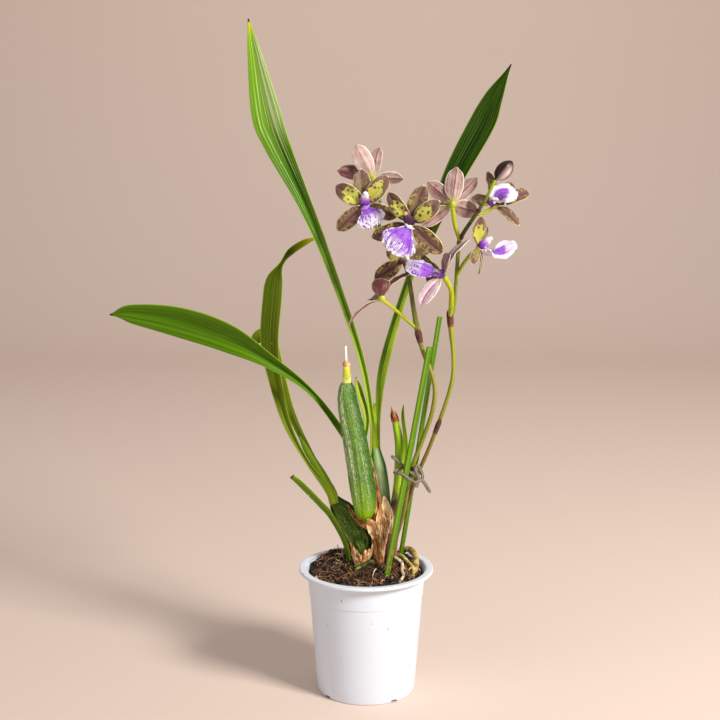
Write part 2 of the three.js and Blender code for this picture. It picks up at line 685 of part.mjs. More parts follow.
function tepalsSolid({ centre, facing, tepals, column }, skin) {
  const middle = new THREE.Vector3(...centre);
  const face = new THREE.Vector3(...facing).normalize();
  const blades = tepals.map(([x, y, z, width, roll = 0]) => {
    const reach = new THREE.Vector3(x, y, z);
    const foot = middle.clone().addScaledVector(reach, 0.07);
    const tip = middle.clone().add(reach);
    const crest = foot.clone().lerp(tip, 0.5).addScaledVector(face, 2 * TEPAL_BOW * reach.length());
    const midline = new THREE.QuadraticBezierCurve3(foot, crest, tip);
    const stations = outlinedStations(midline, TEPAL_OUTLINE, width, TEPAL_FOLD, roll);
    return blade(stations, { thickness: PETAL_THICKNESS, rows: 5, columns: 2, crowd: 1.3, facing }, skin);
  });
  const post = COLUMN_STATIONS.map(([share, radius]) => {
    const point = middle.clone().addScaledVector(new THREE.Vector3(...column), share);
    return [point.x, point.y, point.z, radius];
  });
  const hub = new THREE.IcosahedronGeometry(HUB_RADIUS + skin);
  hub.translate(...centre);
  return union([toSolid(hub), stem(post, { sides: 5, rows: 3, facing: [1, 0.1, 0] }, skin), ...blades]);
}

function lipSolid({ centre, facing, lip }, skin) {
  const [throat, crest, tip] = [lip.throat, lip.crest, lip.tip].map(
    (offset) => new THREE.Vector3(...offset).add(new THREE.Vector3(...centre)));
  const midline = new THREE.QuadraticBezierCurve3(throat, crest, tip);
  const stations = outlinedStations(midline, LIP_OUTLINE, lip.width, LIP_FOLD, 0);
  const options = { thickness: PETAL_THICKNESS, rows: 5, columns: 4, facing, frill: LIP_FRILL, frills: 2 };
  return blade(stations, options, skin);
}

// ---------------------------------------------------------------- twist tie

// Three runs of one flat tie, twisted together at the right of the spikes.
const TIE_RUNS = [
  [[22, -4.6, 216], [28, -4.4, 210.5], [33, -3.9, 206], [37, -3.6, 202], [43, -4, 198], [47, -5, 194]],
  [[33, -4, 205], [27, -5.5, 203], [25, -9, 201.5], [29.5, -12.4, 202], [36.5, -12.8, 198], [43, -9.5, 193],
    [47, -6, 193.5], [50, -5, 193], [57, -5, 182]],
  [[47, -5.4, 193], [43.5, -3.8, 204], [46, -3.2, 206], [49.5, -3.6, 198], [49, -5, 193]],
  [[46, -6.4, 194], [44, -8.5, 188]],
];

function tieSolid(skin) {
  const runs = TIE_RUNS.map((points) => {
    const stations = points.map(([x, y, z]) => [x, y, z, TIE_WIDTH, 0, 0]);
    return blade(stations, { thickness: TIE_THICKNESS, rows: points.length + 2, columns: 1 }, skin);
  });
  return union(runs);
}

// ---------------------------------------------------------------- the pieces, in cutting order

// Each piece grows by `skin` on every side, so that it also cuts its own clearance into what comes after it.
const pieces = [];

function piece(name, colour, build, finish = {}) {
  pieces.push({ name, colour, build, finish });
}

const tint = (name, { colour }, build) => piece(name, colour, build);

for (const [name, spec] of Object.entries(LEAVES)) {
  tint(name, spec, (skin) => blade(spec.stations, spec, skin));
}
for (const [number, spec] of Object.entries(BLOOMS)) {
  piece(`bloom_${number}`, '#7a5a55', (skin) => tepalsSolid(spec, skin));
}
for (const [number, spec] of Object.entries(BLOOMS)) {
  piece(`lip_${number}`, '#a774cf', (skin) => lipSolid(spec, skin));
}
piece('bud', '#4d2a2c', (skin) => stem(BUD, { sides: 8, rows: 6 }, skin));
piece('stake_1', '#3f9a2f', (skin) => rod(STAKE_1, skin));
piece('stake_2', '#57a63a', (skin) => rod(STAKE_2, skin));
for (const [name, spec] of Object.entries(SPIKES)) {
  tint(name, spec, (skin) => spikeSolid(spec, skin));
}
for (const [name, spec] of Object.entries(STEMS)) {
  tint(name, spec, (skin) => stem(spec.stations, spec, skin));
}
piece('tie', '#7d756b', tieSolid);
piece('sheath_crown', '#b08a62', sheathColumn);
piece('sheath_left', '#a5815a', (skin) => stem(SHEATH_LUMP, { sides: 12, rows: 3, flat: 0.9 }, skin));
for (const [name, spec] of Object.entries(ROOTS)) {
  tint(name, spec, (skin) => stem(spec.stations, { sides: spec.sides ?? 5, rows: 8 }, skin));
}
piece('growing_medium', '#35261d', mediumSolid);
piece('pot', '#eef0f4', potSolid, { roughness: 0.35 });

function boxesMeet(one, other) {
  const [a, b] = [one.boundingBox(), other.boundingBox()];
  return [0, 1, 2].every((k) => a.min[k] < b.max[k] && b.min[k] < a.max[k]);
}

const orchid = new THREE.Group();
const cutters = [];
for (const { name, colour, build, finish } of pieces) {
  let solid = build(0);
  for (const cutter of cutters) {
    if (boxesMeet(solid, cutter) && solid.intersect(cutter).volume() > 0) solid = solid.subtract(cutter);
  }
  solid = largestBody(solid);
  if (name !== 'growing_medium' && name !== 'pot') cutters.push(build(GAP));
  const geometry = toGeometry(solid);
  geometry.computeBoundingBox();
  const seat = geometry.boundingBox.getCenter(new THREE.Vector3()).setZ(geometry.boundingBox.min.z);
  geometry.translate(-seat.x, -seat.y, -seat.z);
  const { roughness = 0.6, metalness = 0 } = finish;
  const material = new THREE.MeshStandardMaterial({ color: colour, roughness, metalness });
  const mesh = new THREE.Mesh(geometry, material);
  mesh.name = name;
  mesh.position.copy(seat);
  orchid.add(mesh);
}

export default orchid;
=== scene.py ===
"""A Zygopetalum orchid in its nursery pot: finished plant, pot and studio over the packed model."""

import math
import random
from functools import cached_property

import bpy
import numpy as np
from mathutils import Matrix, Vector, noise


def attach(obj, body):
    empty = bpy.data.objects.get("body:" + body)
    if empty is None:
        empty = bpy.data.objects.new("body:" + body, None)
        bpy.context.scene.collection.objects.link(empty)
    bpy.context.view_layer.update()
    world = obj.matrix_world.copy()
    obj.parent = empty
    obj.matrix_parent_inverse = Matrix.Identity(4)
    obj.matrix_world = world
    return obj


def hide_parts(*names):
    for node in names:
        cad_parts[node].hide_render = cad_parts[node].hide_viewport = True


bl_info = {
    "name": "Zygopetalum Orchid",
    "version": (1, 0, 0),
    "blender": (4, 5, 0),
    "location": "View3D > Sidebar > Orchid",
    "description": "Builds a flowering Zygopetalum in a white nursery pot",
    "category": "Add Mesh",
}

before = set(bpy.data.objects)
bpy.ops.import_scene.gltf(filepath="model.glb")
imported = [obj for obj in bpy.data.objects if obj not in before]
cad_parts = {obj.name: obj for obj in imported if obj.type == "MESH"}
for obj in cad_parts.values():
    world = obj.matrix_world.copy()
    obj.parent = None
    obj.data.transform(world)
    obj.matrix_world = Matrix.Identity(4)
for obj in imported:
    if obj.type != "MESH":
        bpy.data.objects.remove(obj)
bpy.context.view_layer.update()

MM = 0.001
LEAST_WIDTH, LEAST_RADIUS = 0.4, 0.35  # of a blade and a stem, in millimetres
FRONT = (0, -1, 0)


def rgb(code):
    """A linear colour from its six-digit display code."""
    shares = [int(code[k : k + 2], 16) / 255 for k in (0, 2, 4)]
    return tuple(s / 12.92 if s <= 0.04045 else ((s + 0.055) / 1.055) ** 2.4 for s in shares) + (1,)


# -------- the plant's dimensions, in millimetres

# Rows run from the foot to the tip: x, y, z, width, fold and, where the blade turns, roll.
LEAVES = {
    "leaf_a": {
        "rows": [
            (7.4, 17, 209, 9, 28), (5, 17.5, 245, 7, 52), (-5.3, 17, 303, 10, 58),
            (-32.8, 7, 386, 12, 52), (-53.3, -1, 438, 16, 40), (-76, -5, 487, 24, 24),
            (-84.6, -6, 513, 26, 20), (-94.4, -3, 565, 11, 20), (-99, 0, 590, 0.8, 15),
        ],
        "age": (
            (0.02, 0.1), (0.22, 0.35), (0.3, 0.9), (0.54, 1.05), (0.66, 0.85), (0.8, 0.7), (0.92, 0.45),
        ),
        "right": 0.15, "right_ends": 0.4, "sheen": 0.5, "veins": 0.6, "pale_foot": 0.45,
        "yellow_tip": 0.15, "lush": 1,
    },
    "leaf_b": {
        "rows": [
            (8.6, 20.4, 209, 9, 28), (10.4, 22, 245, 8, 52), (16, 30, 292, 11, 40),
            (38, 45, 365, 10, 48), (59, 55, 412, 13, 36), (79, 61, 459, 21, 22),
            (103, 61, 504, 23.5, 14), (113, 58, 527, 17, 14), (128, 55, 556, 0.8, 0),
        ],
        "age": ((0.08, 0.6), (0.2, 0.95), (0.6, 1.06)), "right": 0.9, "right_ends": 0.46, "veins": 0.12,
        "pale_foot": 0.32,
    },
    "leaf_c": {
        "rows": [
            (5, 7.5, 160, 4, 30), (-4, 8.5, 208, 4.6, 35), (0.2, 9.4, 245, 6, 35),
            (-6, 8, 272, 7.2, 35), (-9, 7, 284, 0.8, 10),
        ],
        "age": ((0.1, 0.55), (0.9, 0.6)), "olive": 0.2, "right": -0.85, "veins": 0.2, "pale_foot": 0.5,
        "yellow_tip": 0.15,
    },
    "leaf_d": {
        "rows": [
            (7, 14.5, 158, 5, 50, 0), (5, 15, 175, 6, 50, 0), (-13, 14, 215, 7, 50, 0),
            (-23, 13, 236, 8, 45, 0), (-50, 6, 273, 9, 55, 0), (-84, -4, 302, 17, 38, -14),
            (-119, -13, 324, 31, 18, -26), (-159, -18, 338, 33, 13, -28), (-199, -23, 345, 20, 13, -26),
            (-218, -24, 343.5, 0.8, 10, -20),
        ],
        "age": ((0.15, 0.7), (0.4, 0.88), (0.95, 0.95)), "pale_foot": 0.3, "lush": 0.9,
    },
    "leaf_e": {
        "rows": [
            (-28.4, 12.6, 167, 9, 25), (-33, 13, 180, 9, 32), (-52, 15, 205, 7, 60),
            (-70, 17, 239, 10, 48), (-80, 20, 275, 13, 34), (-85.5, 20, 313, 17, 24),
            (-83, 21, 350, 18, 22), (-80.5, 22, 369, 15.5, 26), (-74.2, 23.5, 383, 6, 56),
            (-66.5, 26, 393, 7, 34), (-55, 29, 400.5, 6, 30), (-43, 32, 405, 0.8, 10),
        ],
        "age": ((0.1, 0.4), (0.35, 0.95), (0.8, 1)), "olive": 0.92, "right": 0.12, "veins": 0.08,
        "pale_foot": 0.44, "yellow_tip": 0.22,
    },
    "leaf_f": {
        "rows": [
            (-27.6, 16, 167, 8.5, 25), (-31.5, 16.6, 180, 8.5, 32), (-45, 21, 203, 7.5, 52),
            (-67, 33, 245, 10, 45), (-80, 39, 292, 12, 38), (-85, 42, 307, 13.5, 24),
            (-90.5, 44, 316.5, 13, 18), (-98, 46, 313.5, 11, 12), (-103, 47, 306, 5, 8),
        ],
        "age": ((0.1, 0.3), (0.5, 0.45), (0.9, 0.7)), "olive": 0.6, "right": 0.75, "right_ends": 0.8,
        "pale_foot": 0.55,
    },
    "leaf_g": {
        "rows": [
            (-12.5, 9.5, 103, 4, 20), (-18.4, 9.2, 132, 5.6, 20), (-30.6, 10.4, 156, 6.4, 24),
            (-40, 9, 168, 7, 24), (-57, 2.5, 188, 6.4, 20), (-66, -1, 196.5, 4.6, 10),
        ],
        "facing": (-0.5, -0.84, 0.2), "age": ((0.1, 0.75), (0.9, 0.7)), "olive": 0.1, "right": 0.45,
        "veins": 0.2, "pale_foot": 0.1,
    },
    "shoot_leaf": {
        "rows": [
            (28.2, 6, 172, 2.6, 20), (35.2, 7.4, 217, 4.4, 30), (32.5, 7, 248, 3, 25),
            (33, 7, 259, 0.8, 10),
        ],
        "age": ((0.1, 0.3), (0.9, 0.5)), "olive": 0.2, "right": 0.2, "yellow_tip": 0.1,
    },
}
# right and right_ends give painted light on one half of a leaf's fold; sheen is a painted sheen.
LEAF_DEFAULTS = {
    "facing": FRONT, "olive": 0, "right": 0, "right_ends": 1.3, "sheen": 0, "veins": 0.1,
    "pale_foot": 0.4, "yellow_tip": 0, "lush": 0,
}
PLEATED = ("leaf_a", "leaf_b", "leaf_d", "leaf_e")
WIDE_LEAF = (0.02, 6, 0.35, 24, 120)  # pleat, veins, ripple, and faces across and along
SLIM_LEAF = (0, 4, 0.15, 12, 64)
PALE_LEAVES = ("leaf_c", "leaf_f", "leaf_g", "shoot_leaf")
LUSH_GREEN = (0.05, 0.13, 0, 0)  # linear light that a leaf in full growth adds to its green
# The round necks that two leaves share above a bulb: x, y, z, radius.
NECKS = {
    "leaf_a": [
        (8.2, 18.4, 212, 3.9), (7.2, 18.6, 224, 3.7), (6.9, 19, 238, 3.2), (7.2, 20, 250, 1.8),
        (7.4, 21, 258, 0.8),
    ],
    "leaf_e": [
        (-27.6, 14.4, 168, 4.3), (-31.6, 14.4, 178, 4.3), (-38.5, 15.2, 192, 3.9), (-46.5, 16.8, 205, 3.3),
        (-54, 18.6, 217, 2.9), (-60, 20.4, 228, 1),
    ],
}

# Rows of the stems and bulbs, and of the roots, spikes and bud further down: x, y, z, radius.
STEMS = {
    "leaf_stub_fibre": [(-17.3, -8, 293, 1.2), (-17.6, -8, 303, 1.2), (-18, -8, 314, 1.1)],
    "leaf_stub": [(-17, -8, 279, 3.7), (-17, -8, 285, 3.6), (-17.2, -8, 293, 3.2), (-17.4, -8, 299, 2.8)],
    "shoot": [
        (27.4, 4, 178, 3.6), (29.4, 3, 214, 4.1), (28.6, 3, 229, 3.9), (26, 3, 243, 3.1),
        (24.8, 3, 249.5, 2.2),
    ],
    "bulb_left": [
        (-2, 13, 108, 3.4), (-5, 14, 127, 10.2), (-9, 15, 139, 12.6), (-16, 16, 152, 11.8),
        (-25.5, 15.5, 165.5, 7.2), (-28.3, 14.5, 171.5, 4.6),
    ],
    "bulb_front": [
        (1, -2.6, 156, 3), (-0.8, -4.2, 164, 8.2), (-2, -5, 178, 10.5), (-5, -6, 200, 10.6),
        (-11, -7, 236, 9.8), (-16, -8, 263, 8.5), (-17, -8, 277, 6.8), (-17, -8, 282, 4.6),
    ],
    "bulb_back": [
        (14, 13, 146, 3.6), (15, 14, 156, 6), (14, 15, 168, 8), (10.5, 17, 198, 7.9), (8, 18.6, 217.5, 4.6),
    ],
    "shoot_sheath": [(18.5, 4, 106, 2.6), (20.5, 3, 145, 3.6), (25.5, 3.6, 168, 3.9), (27.7, 4, 187, 3.5)],
    "rhizome": [(7, 3, 116, 2.2), (2, 0.5, 116.5, 2), (-5, -2, 113, 1.8), (-12, -4, 108, 1.5)],
}
# The torn rim of the cut stub, and the look and dry flaps of the shoot.
STUB_RIM = [(-17.3, -8, 296.5, 3.1), (-17.4, -8, 299.5, 3), (-17.3, -8, 302.5, 2.6)]
# right in the shoot's look gives painted light on one half of it.
SHOOT_LOOK = {
    "age": ((0, 0.2), (0.9, -0.1)), "olive": 0.05, "right": 0.5, "veins": 0.15, "yellow_tip": 0.3,
}
SHOOT_TIPS = (  # where each dry flap faces, and its rows
    ((-0.6, -1, 0), [(25.6, 3, 245, 3.2), (24.4, 3, 251.5, 2.8), (22.4, 3, 259.5, 0.6)]),
    ((1, 0.2, 0), [(25.8, 3, 245, 3.2), (25, 3, 250, 2.6), (24.4, 3, 255, 0.6)]),
)
# A bulb's bands run round it from its right side over its front (0.25) and left (0.5) to its back.
# shaded bands are painted shade; pale bands are real pale marks with painted glints; sheen is painted
# highlight.
BULB_LOOKS = {
    "bulb_left": {
        "colours": ("4c6c0a", "223c04", "ccd884"), "flat": 0.82, "ribs": 8, "ridge": 0.045,
        "shaded": ((0, 0.9), (0.15, 0.4), (0.3, 0), (0.5, 0.3), (0.7, 1)),
        "pale": (
            (0, 0.2), (0.16, 1), (0.24, 0.15), (0.34, 1), (0.44, 0.2), (0.5, 0.8), (0.6, 0),
        ),
        "flecks_and_glints": 0.4, "sheen": 0, "dots": 0.3, "wrinkles": ((1.5, 8, 1.8), (0.5, 20, 7)),
        "relief": 0.5,
    },
    "bulb_front": {
        "colours": ("6c9626", "2a580a", "e8f0c8"), "flat": 0.85, "ribs": 8, "ridge": 0.05,
        "lime": "8cb404",
        "shaded": ((0, 1), (0.12, 0.75), (0.24, 0.2), (0.42, 0.1), (0.52, 0.6), (0.75, 1)),
        "pale": (
            (0.12, 0.05), (0.18, 0.6), (0.23, 0.15), (0.3, 0.35), (0.37, 1), (0.44, 0.7),
            (0.52, 0.15),
        ),
        "flecks_and_glints": 1, "sheen": 0.05, "dots": 0.2,
        "wrinkles": ((0.3, 13, 2), (0.22, 24, 14), (0.16, 34, 30)), "relief": 0.3,
    },
    "bulb_back": {
        "colours": ("549420", "184e08", "d8ecb4"), "flat": 0.85, "ribs": 6, "ridge": 0.02,
        "shaded": ((0, 0.4), (0.1, 0.2), (0.2, 0.1), (0.36, 0.3), (0.45, 0.8), (0.75, 1)),
        "pale": ((0.1, 0), (0.17, 0.7), (0.21, 1), (0.26, 0.6), (0.32, 0)), "flecks_and_glints": 0.3,
        "sheen": 0.8, "dots": 0.15, "wrinkles": ((0.05, 9, 2),), "relief": 0.06,
    },
}
# The loose flakes of the crown's sheath: the way each faces, its foot, its height, how pale it is from
# bleaching and painted highlight, and how far it wraps round.
FLAKES = (
    (150, 112, 42, 0, 100), (-150, 112, 40, 0, 100), (-80, 108, 46, 0.05, 84), (85, 108, 48, 0.15, 84),
    (-22, 106, 38, 0.1, 74), (38, 107, 50, 0.3, 66), (8, 124, 34, 0.4, 50), (-52, 126, 30, 0.3, 46),
)
# The torn sheath that spreads from the left bulb's foot: rows, paleness from bleaching and painted highlight,
# how torn.
TORN_LAYERS = (
    ([(-4.8, 6.4, 109, 3), (-4.4, 7.4, 115, 6), (-3.6, 8.4, 124, 9), (-3, 9.2, 138, 10.4)], 0.3, 0.13),
    ([(-4.6, 5.6, 109, 3), (-4.2, 6.4, 115, 5.8), (-3.8, 7.6, 123, 8.6), (-3, 8.4, 133, 10)], 0.5, 0.16),
)
# The scales that stand off the column: x, y, z, width and fold.
SCALES = [
    [(12, -1, 148, 9, 20), (10.5, -1, 172, 6.5, 25), (8, 0.5, 194, 3.6, 30), (4, 2, 213, 0.8, 0)],
    [
        (17, 0.5, 144, 11.7, 25), (18.5, 0.2, 158, 12.35, 25), (17.5, 0, 169, 8.45, 20),
        (15.5, 0, 178, 1.56, 10),
    ],
    [(3, 3, 148, 6, 20), (-6, 2.4, 154, 5, 25), (-13, 2.4, 163, 3, 20), (-17, 3.4, 170, 0.8, 0)],
    [(14, -1, 144, 10.4, 20), (13, -2.5, 158, 9.1, 20), (12, -2.5, 171, 1.3, 10)],
    [(9.5, 2, 139, 8, 20), (7, -3.5, 148, 11, 20), (4, -8.5, 155, 9, 15), (1, -11, 160, 2, 0)],
]
SCALE_BLEACH_AND_HIGHLIGHT = (0.35, 1.2, 0.1, 0.7, 0.6)  # how pale each scale is, from bleaching and painted highlight
SHEATH_COLUMN = [
    (13, 11, 108, 5.4), (13.8, 10, 122, 5.9), (14.2, 9, 134, 6.3), (14.2, 9, 142, 7.6), (13, 9, 149, 10.2),
    (12, 9, 157, 12), (11.4, 9, 163, 10.3),
]
SHEATH_LUMP = [
    (-1.5, 11, 106, 4.5), (-2.5, 11, 113, 5.4), (-3, 11.5, 119, 5.94), (-4, 12, 124, 4.14),
]
ROOTS = {
    "root_white": [
        (20, 14, 112, 1.2), (25, 10, 118, 1.4), (32, 4, 115, 1.5), (32, -6, 111.5, 1.4), (33, -14, 109, 1.3),
        (29, -23, 106, 1.2),
    ],
    "root_green": [
        (27, 19, 113, 1.2), (32, 15, 118, 1.5), (37, 8, 115, 1.6), (42, -1, 112, 1.6), (42, -12, 107, 1.4),
    ],
    "root_old": [
        (27, 27, 113, 2.2), (35, 27, 119.5, 2.6), (41, 21.5, 121, 2.8), (44, 13, 119, 2.7),
        (45, 4, 114.5, 2.6), (43.5, -2, 107, 2.4),
    ],
}
# A spike's colours run from its foot to its tip. A bract is the share of the axis where it starts, and
# the share that it covers.
SPIKES = {
    "spike_1": {
        "axis": [
            (21, 9, 104, 1.9), (22, 8.5, 120, 2), (33, 5, 160, 2), (39.6, 1.6, 200, 2), (51, 1.8, 232, 2),
            (58.6, 2, 256, 2), (59.6, 1.8, 280, 2), (49.5, 1.8, 308, 2), (44.5, 2, 327, 2.6),
            (41, 1, 346, 2.1), (33, -1, 386, 1.8), (17, 2, 405, 1.6), (11, 4, 418, 1.5),
            (12, 5, 436, 1.4), (6.8, 7.2, 454.4, 1.4),
        ],
        "colours": [
            "4a2420", "55301f", "7a6a22", "8a8a1c", "8a8a20", "8f8c2c", "a09a48", "8a8a30", "7d8030",
            "66682c", "565a22", "4a501c", "5d7420", "6c8526", "7a8f30",
        ],
        "stalks": [
            [(44, 2, 328, 1.6), (34, -2, 337, 1.5), (22, -8, 348, 1.5), (13, -12, 355, 1.7)],
            [(36, -1, 374, 1.4), (35, 4, 381, 1.3), (33, 9, 386, 1.5)],
            [(31, -1, 389, 1.4), (31, -10, 400, 1.3), (35, -22, 414, 1.4), (37, -29, 421, 1.6)],
            [(17, 2, 405, 1.3), (8, -4, 416, 1.3), (0, -10, 428, 1.4), (-2, -14, 435, 1.6)],
        ],
        "bracts": [(0.525, 0.052), (0.205, 0.02), (0.705, 0.014), (0.78, 0.014)],
    },
    "spike_2": {
        "axis": [
            (25, 15.5, 104, 1.7), (28, 14, 138, 1.8), (37, 11.4, 169, 1.8), (48, 7.2, 201, 1.8),
            (58, 8, 225, 1.8), (74, 10, 272, 1.8), (77, 12, 299, 1.8), (73.5, 13, 338, 2.6),
            (77, 13, 345, 1.8), (80, 13, 393, 1.7), (82, 13, 406, 1.8), (96.6, 6, 430, 1.6),
            (104, 2.4, 443, 1.4), (110.3, 4, 456, 1.4),
        ],
        "colours": [
            "b98a52", "8a4a38", "6e3a24", "7d6a26", "85742a", "8f961c", "a3a52c", "9a9c34", "8f9a26",
            "6c7424", "4c5418", "4c5a18", "7d8a20", "a3b020",
        ],
        "stalks": [
            [(73.5, 13, 336, 2), (74, 6, 348, 2.3), (73, -2, 362, 2.1), (67, -9, 374, 2.2)],
            [(79, 13, 371, 1.5), (83, 12, 381, 1.6), (90, 10, 391, 1.6), (97, 8, 397, 1.6)],
            [(81.5, 13, 403, 1.7), (77, 12, 417, 1.9), (74, 10, 434, 1.7)],
            [(94, 8, 426.5, 1.4), (102, 10, 428, 1.5), (110, 10.5, 433, 1.5)],
        ],
        "bracts": [(0.322, 0.022), (0.515, 0.07), (0.765, 0.014), (0.84, 0.014)],
    },
}
BRACT_STAND = (0.16, 0.32, 0.48, 0.8)  # how far a bract stands off its stem, from foot to top
STALK_COLOURS = ("a3ac14", "b6bf10", "c3c81c")
BUD = [
    (110.1, 3.9, 455.5, 1.3), (111.1, 4.8, 457, 1.7), (112.9, 4.4, 459.1, 5), (116.8, 4, 463.6, 6.9),
    (120.6, 3.5, 467.8, 5.9), (123.4, 3.2, 470.8, 3), (124.6, 3.2, 472, 0.4),
]

# Offsets run from a bloom's centre. A tepal is x, y, z, width, roll, darkness and share of lime, and the
# ones under TURNED show their backs. A lip's violet starts at its first share, where it is only a band if
# the share isn't 0, is solid to its second and streaked to its third.
BLOOMS = {
    1: {
        "centre": (6, 8, 456), "facing": (-0.3, 0.85, 0.4), "column": (-2, 8, 5),
        "tepals": [
            (-15, -6, 30, 17, 0, 0, 0), (5, 0, 28, 14, 0, 0.4, 0), (-31, 2, 8, 14, 0, 0.8, 0),
            (26, 0, 1, 13, 0, 0.35, 0), (3, 9, -22, 13, 0, 0.5, 0),
        ],
        "lip": ((-1.1, 2.6, -1.6), (-5, 14, -6), (-7, 19, -13), 22),
    },
    2: {
        "centre": (-2, -15, 436), "facing": (0, -1, 0.05), "column": (1, -8, 10),
        "tepals": [
            (-3, 4, 30, 16, 0, 0.3, 0.1), (-24, 1, 16, 16, 0, 0.7, 1), (20, 1, 24, 16, 0, 0.6, 1),
            (-23, 3, -22, 15, 0, 0.65, 0), (28, 5, -11, 13, 0, 0.95, 0),
        ],
        "lip": ((0.5, -2.9, -1.2), (3.5, -9, -7), (8, -9, -16), 25),
    },
    3: {
        "centre": (37, -30, 421), "facing": (-0.15, -0.98, -0.02), "column": (-5, -9, 9),
        "tepals": [
            (11, 2, 32, 17, 0, 0.7, 0.1), (-19, 2, 26, 13, 0, 0.9, 1), (24, -2, 19, 15, 0, 0.8, 0.9),
            (-33, 4, -12, 14, 0, 1, 0), (27, -2, -25, 16, 0, 0.8, 0),
        ],
        "lip": ((-1, -2.7, -1.4), (-7, -12, -9), (-16, -11, -21), 30),
    },
    4: {
        "centre": (74, 10, 435), "facing": (0, 1, 0.1), "column": (0, 9, 4),
        "tepals": [
            (4, 4, 32, 17, 0, 0.42, 0), (-21, 5, 19, 15, 0, 0.5, 0), (22, 5, 23, 14, 0, 0.48, 0),
            (-26, 4, -19, 14, 0, 0.4, 0), (23, 6, -8, 16, 0, 0.5, 0),
        ],
        "lip": ((0, 2.9, -1.2), (0, 13, -2), (1, 19, -5), 20),
    },
    5: {
        "centre": (111, 10, 434), "facing": (0.35, -0.75, 0.5), "column": (-3, 1, 7),
        "tepals": [
            (-7, 4, 29.5, 12.5, 12, 0, 0.9), (16, 11, 19, 12, 0, 0.6, 0.5), (30, 5, 11, 13, 0, 0.75, 0),
            (21, -3, -17, 12, 0, 0.75, 0), (-21, 4, 6, 13, 0, 0.12, 0.1),
        ],
        "lip": ((-0.6, -3, 4), (4.5, -9, 15.5), (16.5, -8.5, 8.5), 21),
    },
    6: {
        "centre": (98, 8, 398), "facing": (0.95, -0.2, 0.1), "column": (9, -1, 8),
        "tepals": [
            (0.2, -9, 28.5, 14, -48, 0.5, 1), (4, 14, 24, 12, 0, 0.5, 0.3), (-8, -15, -13, 10, 30, 0.5, 0.3),
            (0, 7, -24, 11, 0, 0.7, 0), (2, 24, 3, 12, 0, 0.5, 0.4),
        ],
        "lip": ((3, -1, -2.5), (11.5, -5, -7.5), (30.5, -3, 3), 15.5, -55),
    },
    7: {
        "centre": (66, -10, 376), "facing": (-0.85, -0.35, 0.15), "column": (-8, -3, 4),
        "tepals": [
            (5, -13, 19, 16, 0, 0.5, 0.3), (22, 4, 30, 12, 0, 0.4, 0.4), (-18, 14, 15, 13, 0, 0.9, 0.2),
            (-20, -8, -26, 14, -45, 0.14, 0.9), (-14, 17, -5, 11, 0, 0.6, 0),
        ],
        "lip": ((-5, -3, 0), (-14, -7, 5), (-31, -5, 9), 20, 40),
    },
    8: {
        "centre": (33, 10, 387), "facing": (-0.1, -0.95, 0.1), "column": (2, -6, 3),
        "tepals": [
            (-26, 3, -18, 15, 0, 1, 0), (-15, 9, 8, 12, 0, 0.8, 0.6), (6, 1, 16, 12, 0, 0.5, 0.8),
            (31, 6, 17, 13, 0, 0.9, 0.1), (17, 4, -13, 11, 0, 0.7, 0),
        ],
        "lip": ((2, -4, 2), (4.5, -5, 6), (6.5, -4, 11), 8),
    },
    9: {
        "centre": (13, -12, 356), "facing": (-0.62, 0.1, 0.78), "column": (-4, 5, 6),
        "tepals": [
            (0.5, -11, 18.5, 16.5, -50, 1, 0), (26, 2, 21, 11, 20, 0.7, 0), (-28, 2, -25, 6.5, 17, 0.8, 0),
            (-9, 20, -3, 12, 0, 0.7, 0.4), (6, 20, 14, 12, 0, 0.7, 0.4),
        ],
        "lip": ((-1, 5, 3), (-2, 12, 6), (0, 18, 8), 14),
    },
}
TURNED = ((7, 0), (7, 1), (7, 3), (9, 0))
AWAY = (1, 4, 9)  # blooms that show their backs
DARK_COLUMN, WHITE_CALLUS = (3,), (3, 5, 6)
BOWS = {(6, 0): -0.07, (6, 2): -0.05}  # tepals that bend backwards
VIOLET = {
    1: (0, 0.4, 0.7), 2: (0, 0.52, 0.72), 3: (0, 0.64, 0.92), 4: (0, 0.4, 0.7), 5: (0.12, 0.72, 0.78),
    6: (0.36, 0.78, 0.84), 7: (0, 0.62, 0.9), 8: (0, 0.05, 0.1), 9: (0, 0.4, 0.7),
}
TEPAL_OUTLINE = (0.14, 0.66, 0.94, 1, 0.94, 0.72, 0.1)
TEPAL_BOW = (0.055, 0.125, 0.125, 0.06, 0.06)  # the two petals stand in front of the three sepals
TEPAL_FOLD = 12
LIP_OUTLINE = (0.16, 0.34, 0.68, 0.94, 1, 0.7)
LIP_OUTLINES = {
    5: (0.5, 0.85, 1, 1, 0.86, 0.5), 6: (0.6, 0.5, 0.55, 0.9, 1, 0.5), 7: (0.16, 0.34, 0.6, 0.72, 0.76, 0.6),
}
LIP_FOLD = -8
COLUMN_ROWS = ((0, 3.2), (0.28, 3.8), (0.58, 3.3), (0.84, 2.7), (1, 1.9))  # share of its length, radius
CAP_ROWS = ((-1.4, 1), (-0.4, 1.9), (0.6, 1.7), (1.4, 0.5))  # along the column, radius
HUB_RADIUS = 3.2
HUB_ROWS = ((-0.95, 0.3), (-0.6, 0.8), (0, 1), (0.6, 0.8), (0.95, 0.3))  # both as shares of its radius
CLAW_RADII = (1.6, 1.9, 2.1, 1.5, 0.6)
CALLUS_LENGTH, CALLUS_HEIGHT = 4.6, 0.16  # the most that half of it reaches, and its ridges

